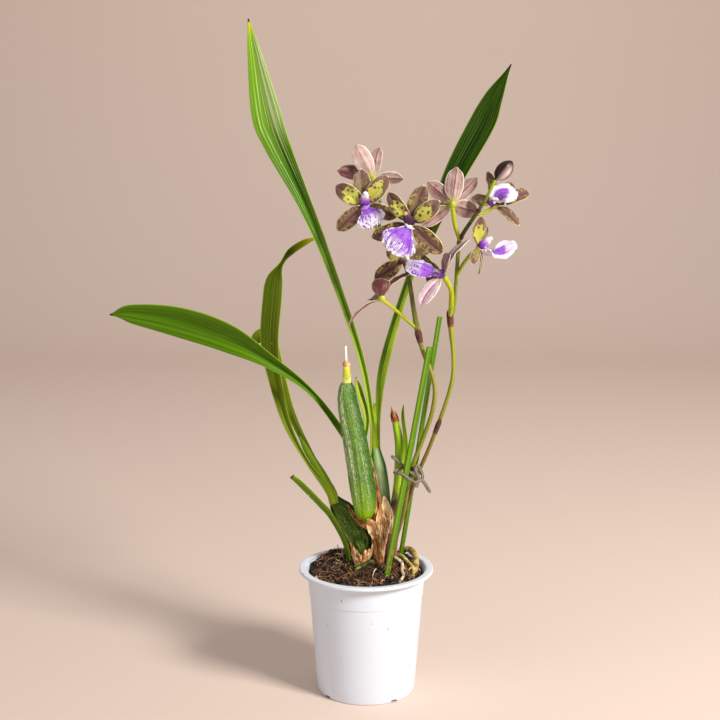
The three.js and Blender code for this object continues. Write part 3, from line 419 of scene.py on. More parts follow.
STAKES = {
    "stake_1": ((8.5, -13.6, 54), (55, -6, 313), 2.65),
    "stake_2": ((24, 31.8, 60), (64, 3, 338), 2.2),
}
TIE_HALF, PAPER_HALF, WIRE_HALF, WIRE_RISE = 1.5, 0.26, 0.42, 0.4
TIE_RUNS = [
    [(22, -4.6, 216), (28, -4.4, 210.5), (33, -3.9, 206), (37, -3.6, 202), (43, -4, 198), (47, -5, 194)],
    [
        (33, -4, 205), (27, -5.5, 203), (25, -9, 201.5), (29.5, -12.4, 202), (36.5, -12.8, 198),
        (43, -9.5, 193), (47, -6, 193.5), (50, -5, 193), (57, -5, 182),
    ],
    [(47, -5.4, 193), (43.5, -3.8, 204), (46, -3.2, 206), (49.5, -3.6, 198), (49, -5, 193)],
    [(46, -6.4, 194), (44, -8.5, 188)],
]

POT_HEIGHT, BASE_RADIUS, NECK_RADIUS, RIM_RADIUS = 113, 44, 52.5, 60
NECK_DROP, WALL, RIM_SKIRT, RIM_ROUND, FOOT_BEVEL = 5, 1.2, 2.6, 0.9, 1.4
STEP_HEIGHT, STEP_DEPTH = 88, 0.5
NOTCH_WIDTH, NOTCH_HEIGHT, NOTCH_ANGLES = 6, 2.4, (-51, 34, 124, -141)
SOIL_FRONT, SOIL_RISE, SOIL_BANK, SOIL_TOP = 103.5, 8, 2.6, 119
CROWN_MOUND = {"x": 8, "y": 18, "height": 8, "spread": 20}
BROAD_LUMP, FINE_LUMP = 0.9, 0.6

# The stage. A light is its place, where it looks, its width in metres and its colour.
FLOOR_WIDTH, FLOOR_LENGTH, FLOOR_FRONT = 12000, 9000, 4000
BEND_START, BEND_LENGTH, BEND_RISE = 1800, 1200, 1000
LIGHTS = {
    "key": ((1.25, -1.05, 1.25), (0, 0, 0.28), 0.5, (1, 0.98, 0.95)),
    "fill": ((-1.3, -1, 0.8), (0, 0, 0.28), 1.2, (0.93, 0.96, 1)),
    "backdrop": ((0, 0.7, 1.9), (0, 2.6, 0.5), 1.6, (1, 0.97, 0.94)),
}
SKY_COLOUR = (0.94, 0.95, 1, 1)
CAMERA_PLACE, CAMERA_PITCH = (-0.0055, -1.119, 0.489), 80.44


# -------- sizes and colours a user may change


def size(name, text, default, low=0, high=1000):
    """A property for a length in millimetres or another measure."""
    return bpy.props.FloatProperty(name=name, description=text, default=default, min=low, max=high)


def count(name, text, default):
    """A property for how many of something there are."""
    return bpy.props.IntProperty(name=name, description=f"Number of {text}", default=default, min=0)


def colour(name, text, code):
    """A property for the colour of something."""
    return bpy.props.FloatVectorProperty(
        name=name, description=f"Colour of {text}", subtype="COLOR", size=4, min=0, max=1, default=rgb(code)
    )


class LeafSettings(bpy.types.PropertyGroup):
    """Leaves and bulbs"""

    thickness: size("Thickness", "Thickness of a leaf at its middle, in millimetres", 0.9, 0.6, 2)
    vein: size("Vein Depth", "Height of the lengthwise folds of a leaf, in millimetres", 0.22, 0, 1)
    young: colour("Young Green", "a young leaf", "9cc82a")
    old: colour("Old Green", "an old leaf", "183e00")
    olive: colour("Olive", "a leaf that yellows", "5c6400")
    # also the colour of painted light on one half of a leaf
    foot: colour("Foot Green", "a leaf's foot", "b0c63c")
    tip: colour("Tip Yellow", "a leaf towards its tip", "d6dc14")
    # also the colour of the painted sheen on leaf A
    streak: colour("Streaks", "the pale lengthwise streaks", "d2e0a0")
    dead: colour("Dead Tip", "a dried tip", "4a2c18")


class FlowerSettings(bpy.types.PropertyGroup):
    """Blooms, bud and flower spikes"""

    thickness: size("Thickness", "Thickness of a tepal, in millimetres", 0.75, 0.6, 2)
    frill: size("Frill", "Height of the lip's ruffles, in millimetres", 0.8, 0, 3)
    maroon: colour("Maroon", "the tepals' dark ground", "44201e")
    mauve: colour("Mauve", "the tepals' light ground", "947064")
    mottle: colour("Mottles", "the tepals' mottles", "b2a24c")
    lime: colour("Lime", "the petals' heart", "b2b236")
    margin: colour("Margin", "the tepals' edge", "d8cc92")
    reverse: colour("Reverse", "the back of a tepal", "d6bab0")
    rose: colour("Rose", "the flush on a tepal's back", "6c363c")
    violet: colour("Violet", "the lip's veins and specks", "8a34c4")
    deep: colour("Deep Violet", "the lip's throat and the column's foot", "48206e")
    white: colour("White", "the lip's ground", "eae2ec")
    bud: colour("Bud", "the bud", "26160c")


class PottingSettings(bpy.types.PropertyGroup):
    """Pot, growing mix and supports"""

    pot: colour("Pot", "the pot", "e2e8f2")
    # also the colour of painted shade on the pot's inner wall and rim
    dirt: colour("Dirt", "the dirt on the pot", "4a3a2c")
    mix: colour("Mix", "the growing mix", "080403")
    bark: colour("Bark", "the bark chips", "2c160a")
    coir: colour("Coir", "the coir fibres", "9a5a26")
    papery: colour("Sheaths", "the dry papery sheaths", "b86c2c")
    stake: colour("Stake", "the stakes", "508406")
    tie: colour("Tie", "the twist tie", "5c523e")
    chips: count("Chips", "bark chips", 420)
    fibres: count("Fibres", "coir fibres", 700)
    straws: count("Straws", "thick strands", 230)
    grains: count("Grains", "pale grains", 60)


class StageSettings(bpy.types.PropertyGroup):
    """Floor, lights and camera"""

    floor: colour("Floor", "the floor and backdrop", "e8d2c2")
    key: size("Key Light", "Power of the key light", 46)
    fill: size("Fill Light", "Power of the fill light", 4)
    backdrop: size("Backdrop Light", "Power of the light behind", 10)
    sky: size("Sky", "Strength of the light all round", 0.32)
    lens: size("Lens", "Focal length in millimetres", 65, 10)


# -------- smooth runs


def unit(vectors):
    """The vectors at length 1."""
    vectors = np.asarray(vectors, float)
    return vectors / np.maximum(np.linalg.norm(vectors, axis=-1, keepdims=True), 1e-12)


class Run:
    """A smooth run through rows of x, y, z and further tracks, from share 0 to share 1."""

    def __init__(self, rows):
        rows = np.array(rows, float)
        spine, tracks = rows[:, :3], rows[:, 3:]
        self.spine = np.vstack([2 * spine[0] - spine[1], spine, 2 * spine[-1] - spine[-2]])
        self.tracks = np.vstack([tracks[:1], tracks, tracks[-1:]])

    @staticmethod
    def through(knots, share):
        """The values of the smooth run through the inner knots."""
        last = len(knots) - 3
        at = np.clip(share, 0, 1) * last
        k = np.minimum(at.astype(int), last - 1)
        w = (at - k)[:, None]
        p0, p1, p2, p3 = (knots[k + n] for n in range(4))
        v0, v1 = (p2 - p0) / 2, (p3 - p1) / 2
        return ((2 * (p1 - p2) + v0 + v1) * w + 3 * (p2 - p1) - 2 * v0 - v1) * w * w + v0 * w + p1

    def point(self, share):
        """Places along the run."""
        return self.through(self.spine, share)

    def track(self, k, share):
        """A further track's values along the run."""
        if k >= self.tracks.shape[1]:
            return np.zeros(len(share))
        return self.through(self.tracks, share)[:, k]

    def frames(self, share, facing=FRONT, roll=0):
        """The across, outward and forward directions of a run whose front looks towards `facing`."""
        step = 1e-3
        forward = unit(self.point(np.minimum(share + step, 1)) - self.point(np.maximum(share - step, 0)))
        across = unit(np.cross(forward, facing))
        outward = np.cross(across, forward)
        turn = np.radians(np.broadcast_to(roll, share.shape))[:, None]
        return (
            across * np.cos(turn) - outward * np.sin(turn),
            outward * np.cos(turn) + across * np.sin(turn),
            forward,
        )


def bumps(points, scale, seed=0):
    """Smooth noise between -1 and 1 at each point, with features about `scale` millimetres across."""
    shift = Vector((seed * 17.3, seed * 5.1, seed * 9.7))
    return np.array([noise.noise(Vector(p) / scale + shift) for p in points])


# -------- pieces


def alone(piece):
    """Leaves only this piece selected and active."""
    bpy.ops.object.select_all(action="DESELECT")
    piece.select_set(True)
    bpy.context.view_layer.objects.active = piece


def apply_modifier(piece, kind, **settings):
    """Adds a modifier with these settings and applies it."""
    alone(piece)
    modifier = piece.modifiers.new(kind.title(), kind)
    for name, value in settings.items():
        setattr(modifier, name, value)
    bpy.ops.object.modifier_apply(modifier=modifier.name)


def folds(u, v, count, length, seed=0):
    """Sharp lengthwise folds: 1 on a crest and down to about -1 in a crease."""
    ring = count / 2.2
    spots = np.column_stack([ring * np.cos(2 * np.pi * u), ring * np.sin(2 * np.pi * u), length * v])
    return 1 - 2.8 * np.abs(bumps(spots, 1, seed))


def grid(name, across, along, place, materials, closed=False, tone=None):
    """A piece shaped from a flat grid. place(u, v) gives its corners in millimetres.

    u runs across from 0 to 1 and v along. A closed one is welded where its edges meet. tone(u, v) gives
    the piece's own colour attribute.
    """
    bpy.ops.mesh.primitive_grid_add(x_subdivisions=across, y_subdivisions=along, size=2)
    piece = bpy.context.object
    piece.name = piece.data.name = name
    flat = np.empty(len(piece.data.vertices) * 3)
    piece.data.vertices.foreach_get("co", flat)
    u, v = (flat.reshape(-1, 3)[:, :2].T + 1) / 2
    piece.data.vertices.foreach_set("co", (place(u, v) * MM).ravel())
    piece.data.update()
    if tone is not None:
        tint(piece, tone(u, v))
    for material in materials:
        piece.data.materials.append(material)
    if closed:
        weld(piece)
    bpy.ops.object.shade_smooth()
    return piece


def weld(piece):
    """Closes a wrapped grid's seam and ends and turns its faces outwards."""
    alone(piece)
    bpy.ops.object.mode_set(mode="EDIT")
    bpy.ops.mesh.select_all(action="SELECT")
    bpy.ops.mesh.remove_doubles(threshold=1e-6)
    bpy.ops.mesh.normals_make_consistent(inside=False)
    bpy.ops.object.mode_set(mode="OBJECT")


def thicken(piece, thickness, edge=0.4, back=1):
    """Gives a sheet its thickness, thinner at its open edge, with its second material on the back."""
    rim = {v for e in open_edges(piece.data) for v in e}
    body = piece.vertex_groups.new(name="Body")
    body.add([v.index for v in piece.data.vertices if v.index not in rim], 1, "REPLACE")
    apply_modifier(
        piece, "SOLIDIFY", thickness=thickness * MM, offset=0, material_offset=back,
        vertex_group=body.name, thickness_vertex_group=edge,
    )
    piece.vertex_groups.clear()


def open_edges(mesh):
    """The vertex pairs of the edges with one face."""
    uses = {}
    for polygon in mesh.polygons:
        for key in polygon.edge_keys:
            uses[key] = uses.get(key, 0) + 1
    return [key for key, count in uses.items() if count == 1]


def tint(piece, values):
    """Stores the piece's own colour attribute, one for all or one for each vertex."""
    layer = piece.data.color_attributes.new("Tone", "FLOAT_COLOR", "POINT")
    values = np.broadcast_to(np.asarray(values, float), (len(piece.data.vertices), 4))
    layer.data.foreach_set("color", values.ravel())


def join(name, pieces):
    """Makes one piece of several."""
    alone(pieces[0])
    for piece in pieces[1:]:
        piece.select_set(True)
    bpy.ops.object.join()
    pieces[0].name = pieces[0].data.name = name
    return pieces[0]


def dress(piece, slot, *nodes):
    """Lets a piece stand for solids of the model and ride with the plant; the slot is not used."""
    if nodes:
        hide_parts(*nodes)
    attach(piece, "root")


def blade_shape(rows, facing=FRONT, crowd=1, pleat=0, veins=0, depth=0, ripple=0, seed=0):
    """The place function of a leaf or tepal: folded along its midline, with veins and a rippled edge."""
    run = Run(rows)

    def place(u, v):
        side = 2 * u - 1
        share = 1 - (1 - v) ** crowd
        width = np.maximum(run.track(0, share), LEAST_WIDTH)
        fold = np.radians(run.track(1, share))
        across, outward, _ = run.frames(share, facing, run.track(2, share))
        reach = np.abs(side) * width / 2
        soft = 0.07 * width
        rise = np.sqrt(reach**2 + soft**2) - soft
        lift = rise * np.sin(fold) + pleat * width * np.sin(np.pi * np.abs(side))
        lift += depth * np.cos(veins * np.pi * side) * np.minimum(width / 8, 1)
        wave = np.sin(9 * share + seed) + 0.6 * np.sin(23 * share + 2 * seed + 2 * side)
        lift += ripple * side**2 * wave * np.sin(np.pi * share)
        spread = np.sign(side) * reach * np.cos(fold)
        return run.point(share) + spread[:, None] * across + lift[:, None] * outward

    return place


def along_stem(v, along):
    """The share of a stem's length at v, with a row left at each end to close it."""
    return np.clip((v * along - 1) / (along - 2), 0, 1)


def tube(name, rows, around, along, material, facing=FRONT, flat=1, ribs=0, ridge=0, rough=0,
         grain=6, seed=0, relief=None, tone=None):
    """A closed stem, bulb or root, with ribs along it and an uneven skin."""
    run = Run(rows)

    def place(u, v):
        share = along_stem(v, along)
        closing = np.where((v < 0.5 / along) | (v > 1 - 0.5 / along), 0, 1)
        angle = 2 * np.pi * u
        across, outward, _ = run.frames(share, facing)
        swell = 1 + ridge * np.cos(ribs * angle) * np.sin(np.pi * share)
        radius = np.maximum(run.track(0, share), LEAST_RADIUS) * swell
        if relief is not None:
            radius = radius + relief(u, v) * np.sin(np.pi * share) ** 0.5
        centre = run.point(share)
        ray = np.cos(angle)[:, None] * across + flat * np.sin(angle)[:, None] * outward
        corners = centre + (radius * closing)[:, None] * ray
        if rough:
            corners += (rough * bumps(corners, grain, seed) * closing)[:, None] * ray
        return corners

    return grid(name, around, along, place, [material], closed=True, tone=tone)


def sleeve(name, rows, material, wrap=300, facing=FRONT, ragged=0, thickness=0.35, seed=0, taper=2,
           crumple=0, tone=None, narrow=0.97, dip=0):
    """A papery sheath: wrapped round a stem at its foot and narrower towards its torn top."""
    run = Run(rows)

    def place(u, v):
        side = 2 * u - 1
        teeth = 0.5 + 0.5 * np.sin(17 * side + seed) * np.sin(7 * side + 3 * seed)
        share = v * (1 - ragged * teeth - dip * (1 - np.abs(side)))
        half = np.radians(wrap / 2) * (1 - v**taper * narrow)
        across, outward, _ = run.frames(share, facing)
        radius = run.track(0, share)
        if crumple:
            radius = radius + crumple * folds(u / 2, v, 7, 2, seed)
        angle = side * half
        ray = np.sin(angle)[:, None] * across + np.cos(angle)[:, None] * outward
        corners = run.point(share) + radius[:, None] * ray
        return corners + (0.8 * crumple * bumps(corners, 4.5, seed))[:, None] * ray

    piece = grid(name, 24, 24, place, [material], tone=tone)
    thicken(piece, thickness, 0.5, 0)
    return piece


def scatter(name, corners, faces, tones, material):
    """One piece from many copies of a small form: corners[k] are the corners of copy k."""
    copies, count = len(corners), len(corners[0])
    mesh = bpy.data.meshes.new(name)
    indices = [tuple(i + k * count for i in face) for k in range(copies) for face in faces]
    mesh.from_pydata((np.concatenate(corners) * MM).tolist(), [], indices)
    piece = bpy.data.objects.new(name, mesh)
    bpy.context.scene.collection.objects.link(piece)
    mesh.materials.append(material)
    tint(piece, np.repeat(np.array(tones), count, axis=0))
    alone(piece)
    bpy.ops.object.shade_smooth()
    return piece


# -------- finishes


class Value:
    """An output of a node. Adding, taking away and multiplying make Math nodes."""

    def __init__(self, tree, socket):
        self.tree, self.socket = tree, socket

    def __add__(self, other):
        return self.tree.calc("ADD", self, other)

    def __radd__(self, other):
        return self.tree.calc("ADD", other, self)

    def __sub__(self, other):
        return self.tree.calc("SUBTRACT", self, other)

    def __rsub__(self, other):
        return self.tree.calc("SUBTRACT", other, self)

    def __mul__(self, other):
        return self.tree.calc("MULTIPLY", self, other)

    def step(self, low, high):
        """0 below `low`, 1 above `high`, smooth between."""
        return self.tree.node("MapRange", {0: self, 1: low, 2: high}, interpolation_type="SMOOTHSTEP")


class Tree:
    """A node tree being built: each call adds a node and gives back one of its outputs."""

    def __init__(self, tree):
        self.tree = tree

    def feed(self, socket, value):
        """Links a socket to a node's output, or sets its number or colour, which may be a code."""
        if isinstance(value, Value):
            self.tree.links.new(value.socket, socket)
        else:
            socket.default_value = rgb(value) if isinstance(value, str) else value

    def new(self, kind, inputs=(), **settings):
        """A node of this kind, with its settings and inputs."""
        node = self.tree.nodes.new("ShaderNode" + kind)
        for name, value in settings.items():
            setattr(node, name, value)
        for key, value in inputs.items() if isinstance(inputs, dict) else enumerate(inputs):
            self.feed(node.inputs[key], value)
        return node

    def node(self, kind, inputs=(), output=0, **settings):
        """One output of a new node."""
        return Value(self, self.new(kind, inputs, **settings).outputs[output])

    def calc(self, operation, *values):
        """A Math node."""
        return self.node("Math", values, operation=operation)

    def most(self, first, other):
        """The larger of two values."""
        return self.calc("MAXIMUM", first, other)

    def mix(self, share, under, over):
        """One colour laid over another."""
        return self.node("Mix", {0: share, 6: under, 7: over}, 2, data_type="RGBA")

    def ramp(self, value, *stops):
        """A colour that runs through stops, each a share and a colour."""
        node = self.new("ValToRGB", (value,))
        marks = node.color_ramp.elements
        while len(marks) < len(stops):
            marks.new(1)
        for mark, (share, shade) in zip(marks, stops):
            mark.position, mark.color = share, rgb(shade) if isinstance(shade, str) else shade
        return Value(self, node.outputs[0])

    def level(self, value, *stops):
        """A value that runs through stops, each a share and a value."""
        return self.ramp(value, *((share, (grey, grey, grey, 1)) for share, grey in stops))

    def grain(self, vector, scale, detail=2):
        """Noise with features 1/scale of a metre across."""
        return self.node("TexNoise", {"Vector": vector, "Scale": scale, "Detail": detail})

    def parts(self, vector):
        """The three parts of a vector, or a colour's red, green and blue."""
        return [Value(self, part) for part in self.new("SeparateXYZ", (vector,)).outputs]

    def use(self, name, output=0, **inputs):
        """One of the node groups, with its own values."""
        return self.node("Group", inputs, output, node_tree=bpy.data.node_groups[name])


class Finish(Tree):
    """A material, painted coat over coat onto its Principled shader."""

    def __init__(self, name, roughness=0.5, specular=0.5):
        self.material = bpy.data.materials.new(name)
        self.material.use_nodes = True
        super().__init__(self.material.node_tree)
        self.shader = self.tree.nodes["Principled BSDF"].inputs
        self.shader["Roughness"].default_value = roughness
        self.shader["Specular IOR Level"].default_value = specular
        self.base = None

    @cached_property
    def map(self):
        """Across and along the piece."""
        return self.node("UVMap", uv_map="UVMap")

    @cached_property
    def place(self):
        """The place on the piece, in metres."""
        return self.node("TexCoord", output="Object")

    def across(self):
        """The share of the way across the piece."""
        return self.parts(self.map)[0]

    def tone(self):
        """The piece's own colour attribute."""
        return self.node("VertexColor", layer_name="Tone")

    def blade(self):
        """How near the edge a point lies and how far along the piece."""
        return [self.use("Blade", k, Map=self.map) for k in (0, 1)]

    def streaks(self, across, along, seed):
        """Broken lengthwise streaks: how many across and along."""
        return self.use("Streaks", Map=self.map, Across=across, Along=along, Seed=seed)

    def veins(self, count, width, seed):
        """Thin lengthwise lines that break off here and there."""
        return self.use("Veins", Map=self.map, Count=count, Width=width, Seed=seed)

    def specks(self, scale, size):
        """Small round dots."""
        return self.use("Specks", Place=self.place, Scale=scale, Size=size)

    def patches(self, scale, cover):
        """Ragged spots that cover a share of the surface."""
        return self.use("Patches", Place=self.place, Scale=scale, Cover=cover)

    def cloud(self, scale, detail=2):
        """Noise over the piece, with features 1/scale of a metre across."""
        return self.grain(self.place, scale, detail)

    def coat(self, share, colour):
        """Lays a colour over what is there."""
        self.base = self.mix(share, self.base, colour)

    def done(self, height=None, depth=0.1, roughness=None):
        """Links the colour, the relief, whose depth is in millimetres, and the roughness."""
        self.feed(self.shader["Base Color"], self.base)
        if roughness is not None:
            self.feed(self.shader["Roughness"], roughness)
        if height is not None:
            bump = self.node("Bump", {"Height": height, "Strength": 0.8, "Distance": depth * MM}, "Normal")
            self.feed(self.shader["Normal"], bump)
        return self.material


def new_group(name, inputs, outputs):
    """An empty node group with named inputs and outputs, and its tree."""
    group = bpy.data.node_groups.new(name, "ShaderNodeTree")
    for label, default in inputs.items():
        kind = "NodeSocketVector" if default is None else "NodeSocketFloat"
        socket = group.interface.new_socket(label, in_out="INPUT", socket_type=kind)
        if default is not None:
            socket.default_value = default
    for label in outputs:
        group.interface.new_socket(label, in_out="OUTPUT", socket_type="NodeSocketFloat")
    tree, result = Tree(group), group.nodes.new("NodeGroupOutput").inputs
    source = group.nodes.new("NodeGroupInput").outputs
    return tree, {name: Value(tree, source[name]) for name in inputs}, result


def make_groups():
    """The effects that several finishes share."""
    if "Streaks" in bpy.data.node_groups:
        return
    tree, given, result = new_group("Streaks", {"Map": None, "Across": 30, "Along": 2, "Seed": 0}, ["Mask"])
    x, y, _ = tree.parts(given["Map"])
    spread = (x * given["Across"], y * given["Along"], given["Seed"])
    noise = tree.grain(tree.node("CombineXYZ", spread), 1, 3)
    tree.feed(result["Mask"], noise.step(0.36, 0.64))

    tree, given, result = new_group("Patches", {"Place": None, "Scale": 200, "Cover": 0.5}, ["Mask"])
    low = 0.68 - given["Cover"] * 0.36
    noise = tree.grain(given["Place"], given["Scale"], 3)
    tree.feed(result["Mask"], noise.step(low, low + 0.07))

    tree, given, result = new_group("Specks", {"Place": None, "Scale": 400, "Size": 0.25}, ["Mask"])
    cells = tree.new("TexVoronoi", {"Vector": given["Place"], "Scale": given["Scale"]}).outputs
    distance, hue = Value(tree, cells["Distance"]), Value(tree, cells["Color"])
    reach = given["Size"] * (tree.parts(hue)[0] + 0.35)
    tree.feed(result["Mask"], distance.step(reach, reach * 0.6))

    tree, given, result = new_group("Veins", {"Map": None, "Count": 8, "Width": 0.2, "Seed": 0}, ["Mask"])
    x, y, _ = tree.parts(given["Map"])
    broad = tree.node("CombineXYZ", (x * 2, y * 1.6, given["Seed"]))
    sway = (tree.grain(broad, 1) - 0.5) * 0.35
    lines = (x + sway) * (given["Count"] * math.pi)
    lines = tree.calc("ABSOLUTE", tree.calc("SINE", lines))
    lines = lines.step(given["Width"], given["Width"] * 0.2)
    spread = (x * given["Count"], y * 4, given["Seed"])
    breaks = tree.grain(tree.node("CombineXYZ", spread), 1).step(0.38, 0.58)
    tree.feed(result["Mask"], lines * breaks)

    tree, given, result = new_group("Blade", {"Map": None}, ["Edge", "Along"])
    x, y, _ = tree.parts(given["Map"])
    tree.feed(result["Edge"], tree.calc("ABSOLUTE", x * 2 - 1))
    tree.feed(result["Along"], y)


def leaf_finish(name, leaf, settings, seed):
    """A living leaf: green by its age, pale at its foot, with lengthwise lines, a dry point and painted
    light.
    """
    paint = Finish(f"Leaf {name[-1].upper()}", 0.4, 0.07)
    edge, along = paint.blade()
    across = paint.across()
    leaf = {**LEAF_DEFAULTS, **leaf}
    young, old, olive = (np.array(c) for c in (settings.young, settings.old, settings.olive))
    sallow, lush = leaf["olive"], leaf["lush"] * np.array(LUSH_GREEN)
    greens = []
    for share, age in leaf["age"]:
        green = (old * age + young * (1 - age)) * (1 - sallow) + olive * sallow * (1.6 - age) + lush
        greens.append((share, tuple(green)))
    dark, light = old * (0.45, 0.5, 0.5, 1), young * (1.1, 1.1, 0.4, 1)
    broad = paint.streaks(8, 1.2, seed)
    fine = paint.streaks(48, 2.4, seed + 7)
    paint.base = paint.mix(broad * 0.45, paint.ramp(along, *greens), tuple(dark))
    paint.coat(fine * 0.09, tuple(light))
    # painted light: the right half, the left where right is below 0, lightened with the foot green up to
    # right_ends
    right = leaf["right"]
    half = across.step(*((0.46, 0.54) if right > 0 else (0.54, 0.46))) * abs(right)
    paint.coat(half * along.step(leaf["right_ends"] + 0.15, leaf["right_ends"] - 0.15), settings.foot)
    # painted sheen: the streak colour on the right half towards the tip
    if leaf["sheen"]:
        sheen = paint.level(along, (0.6, 0), (0.74, leaf["sheen"]), (0.86, leaf["sheen"]), (0.94, 0))
        sheen = sheen * across.step(0.5, 0.66) * (0.4 + fine)
        paint.coat(sheen, settings.streak)
    paint.coat(paint.veins(9, 0.5 if leaf["veins"] > 0.5 else 0.3, seed) * leaf["veins"], settings.streak)
    foot = (along + paint.cloud(45) * 0.1).step(leaf["pale_foot"] + 0.05, 0)
    paint.coat(foot * 0.8, settings.foot)
    if leaf["yellow_tip"]:
        paint.coat((along - fine * 0.05).step(1 - leaf["yellow_tip"], 1), settings.tip)
    paint.coat(edge.step(0.93, 1) * 0.4, settings.foot)
    paint.coat(paint.specks(60, 0.05) * 0.8, settings.foot)
    if name != "leaf_f":
        paint.coat(along.step(0.98, 0.99), settings.dead)
    gloss = paint.node("MapRange", (fine, 0, 1, 0.32, 0.46))
    return paint.done(fine + paint.cloud(900), roughness=gloss)


def tepal_finish(settings):
    """The face of a tepal: veined maroon with yellow mottles, a pale margin and a lime heart."""
    paint = Finish("Tepal Face", 0.5, 0.25)
    edge, along = paint.blade()
    dark, lime, seed = paint.parts(paint.tone())
    fine = paint.streaks(26, 1.6, seed)
    rough = paint.cloud(260, 4)
    midrib = edge.step(0.14, 0) * 0.25
    shade = fine * 0.3 + dark * 0.6 + midrib + rough * 0.25
    paint.base = paint.mix(shade * 0.9, settings.mauve, settings.maroon)
    marks = paint.patches(430, 0.52) * edge.step(0.1, 0.7) * (0.4 + fine * 0.5)
    paint.coat(marks * (1 - lime * 0.75) * (0.3 + dark * 0.8), settings.mottle)
    squares = [paint.calc("POWER", part, 2) for part in (edge * 0.95, (along - 0.34) * 2.4)]
    away = paint.calc("SQRT", squares[0] + squares[1]) + (rough - 0.5) * 1.3
    heart = away.step(0.78, 0.7) * lime * (1 - paint.specks(270, 0.38))
    paint.coat(heart, paint.mix(fine * 0.3, settings.lime, settings.margin))
    rim = (edge + rough * 0.12).step(0.95, 1.03)
    tip = (along + rough * 0.06).step(0.94, 1)
    paint.coat(paint.most(rim, tip), settings.margin)
    return paint.done(fine + paint.cloud(1400))


def reverse_finish(settings):
    """The back of a tepal: pinkish tan, veined, paler to its edge and greenish at its foot."""
    paint = Finish("Tepal Back", 0.5, 0.25)
    edge, along = paint.blade()
    dark, blush, seed = paint.parts(paint.tone())
    fine = paint.streaks(20, 1.2, seed)
    shade = fine * 0.3 + dark * 0.8 + (paint.cloud(160, 3) - 0.5) + paint.veins(11, 0.35, seed) * 0.3
    midrib = edge.step(0.12, 0) * (0.5 + blush * 0.4)
    paint.base = paint.mix(blush, settings.reverse, "f2d4de")
    paint.coat(shade + midrib, settings.rose)
    plain = 1.1 - dark
    paint.coat(edge.step(0.84, 0.98) * (plain + 0.15), "f0e6d0")
    paint.coat(along.step(0.2, 0.03) * (plain * 0.8), settings.lime)
    return paint.done(fine + paint.cloud(1400))


def lip_finish(settings):
    """The lip: violet from its throat, breaking into stripes and specks on white."""
    paint = Finish("Lip", 0.48, 0.25)
    edge, along = paint.blade()
    start, solid, streaked = paint.parts(paint.tone())
    rough = paint.cloud(260, 3) - 0.5
    fine = paint.streaks(30, 0.8, 3)
    fade = along + rough * 0.3
    begun = (fade - start).step(-0.05, 0.05)
    ground = (fade - solid).step(0.1, -0.1)
    stripes = fine * (fade - streaked).step(0.08, -0.14)
    dotted = fade.step(0.3, 0.55) * solid.step(0.05, 0.3)
    band = start.step(0.02, 0.1) * 0.42
    rim = (edge + band + rough * 0.5).step(1, 0.82)
    ink = paint.most(ground * (0.86 + fine * 0.14), stripes) * begun * rim
    tone = paint.mix(along.step(0.3, 0.04), settings.violet, settings.deep)
    paint.base = paint.mix(ink, settings.white, tone)
    paint.coat(paint.specks(480, 0.42) * dotted * (0.9 - band * 1.7), "6c2aa4")
    return paint.done(fine + paint.cloud(900), 0.12)


def lip_back_finish(settings):
    """The back of a lip: white, flushed with violet."""
    paint = Finish("Lip Back", 0.5, 0.25)
    flush = paint.streaks(20, 1, 5) * paint.blade()[1].step(0.7, 0.1) * 0.35
    paint.base = paint.mix(flush, settings.white, settings.violet)
    return paint.done(paint.cloud(900), 0.08)


def column_finish(settings):
    """The column: dark violet at its foot, lilac above and white at its tip."""
    paint = Finish("Column", 0.38, 0.3)
    along, rough = paint.blade()[1], paint.cloud(420, 3)
    lift = along + (rough - 0.5) * 0.4
    fine = paint.streaks(22, 1, 2)
    lilac, white = (0.58, "bc92c0"), (0.76, settings.white)
    paint.base = paint.ramp(lift, (0.08, settings.deep), (0.34, settings.violet), lilac, white)
    paint.coat(fine * 0.3, settings.deep)
    paint.coat(paint.parts(paint.tone())[0] * 0.94, "3c1a2a")
    return paint.done(fine + rough)


def callus_finish(settings):
    """The callus: white and violet ridges side by side."""
    paint = Finish("Callus", 0.4, 0.3)
    ridges = paint.calc("ABSOLUTE", paint.calc("SINE", paint.parts(paint.map)[1] * 26))
    paint.base = paint.mix(ridges.step(0.75, 0.35) * 0.6, "bc92dc", settings.violet)
    paint.coat(paint.cloud(300).step(0.5, 0.62) * 0.7, settings.deep)
    paint.coat(paint.parts(paint.tone())[0] * 0.85, settings.white)
    return paint.done(ridges, 0.15)


def cap_finish():
    """The cap at the column's tip: cream with an orange flush."""
    paint = Finish("Anther Cap", 0.38)
    flush = paint.most(paint.patches(330, 0.35) * 0.4, paint.parts(paint.tone())[0] * 0.85)
    paint.base = paint.mix(flush, "f4eee6", "d88a4a")
    return paint.done(paint.cloud(900), 0.06)


def stem_finish():
    """Flower stems: their own colour, streaked along, darker in patches, with pale pores."""
    paint = Finish("Spike", 0.36, 0.35)
    own, fine = paint.tone(), paint.streaks(8, 12, 1)
    paint.base = paint.mix(fine * 0.5, own, paint.mix(0.5, own, "2e2410"))
    paint.coat(paint.specks(620, 0.3) * 0.3, "c9c27a")
    return paint.done(fine + paint.cloud(1500), 0.06)


def bract_finish():
    """The brown scales at the nodes of the flower stems."""
    paint = Finish("Bract", 0.5, 0.3)
    fine = paint.streaks(12, 1.5, 4)
    lift = paint.blade()[1] + paint.cloud(500) * 0.2
    browns = ((0.05, "c9a27a"), (0.16, "6a3426"), (0.55, "33181a"), (1, "5a3428"))
    paint.base = paint.ramp(lift, *browns)
    paint.coat(fine * 0.35, "8a5a44")
    return paint.done(fine + paint.cloud(1200))


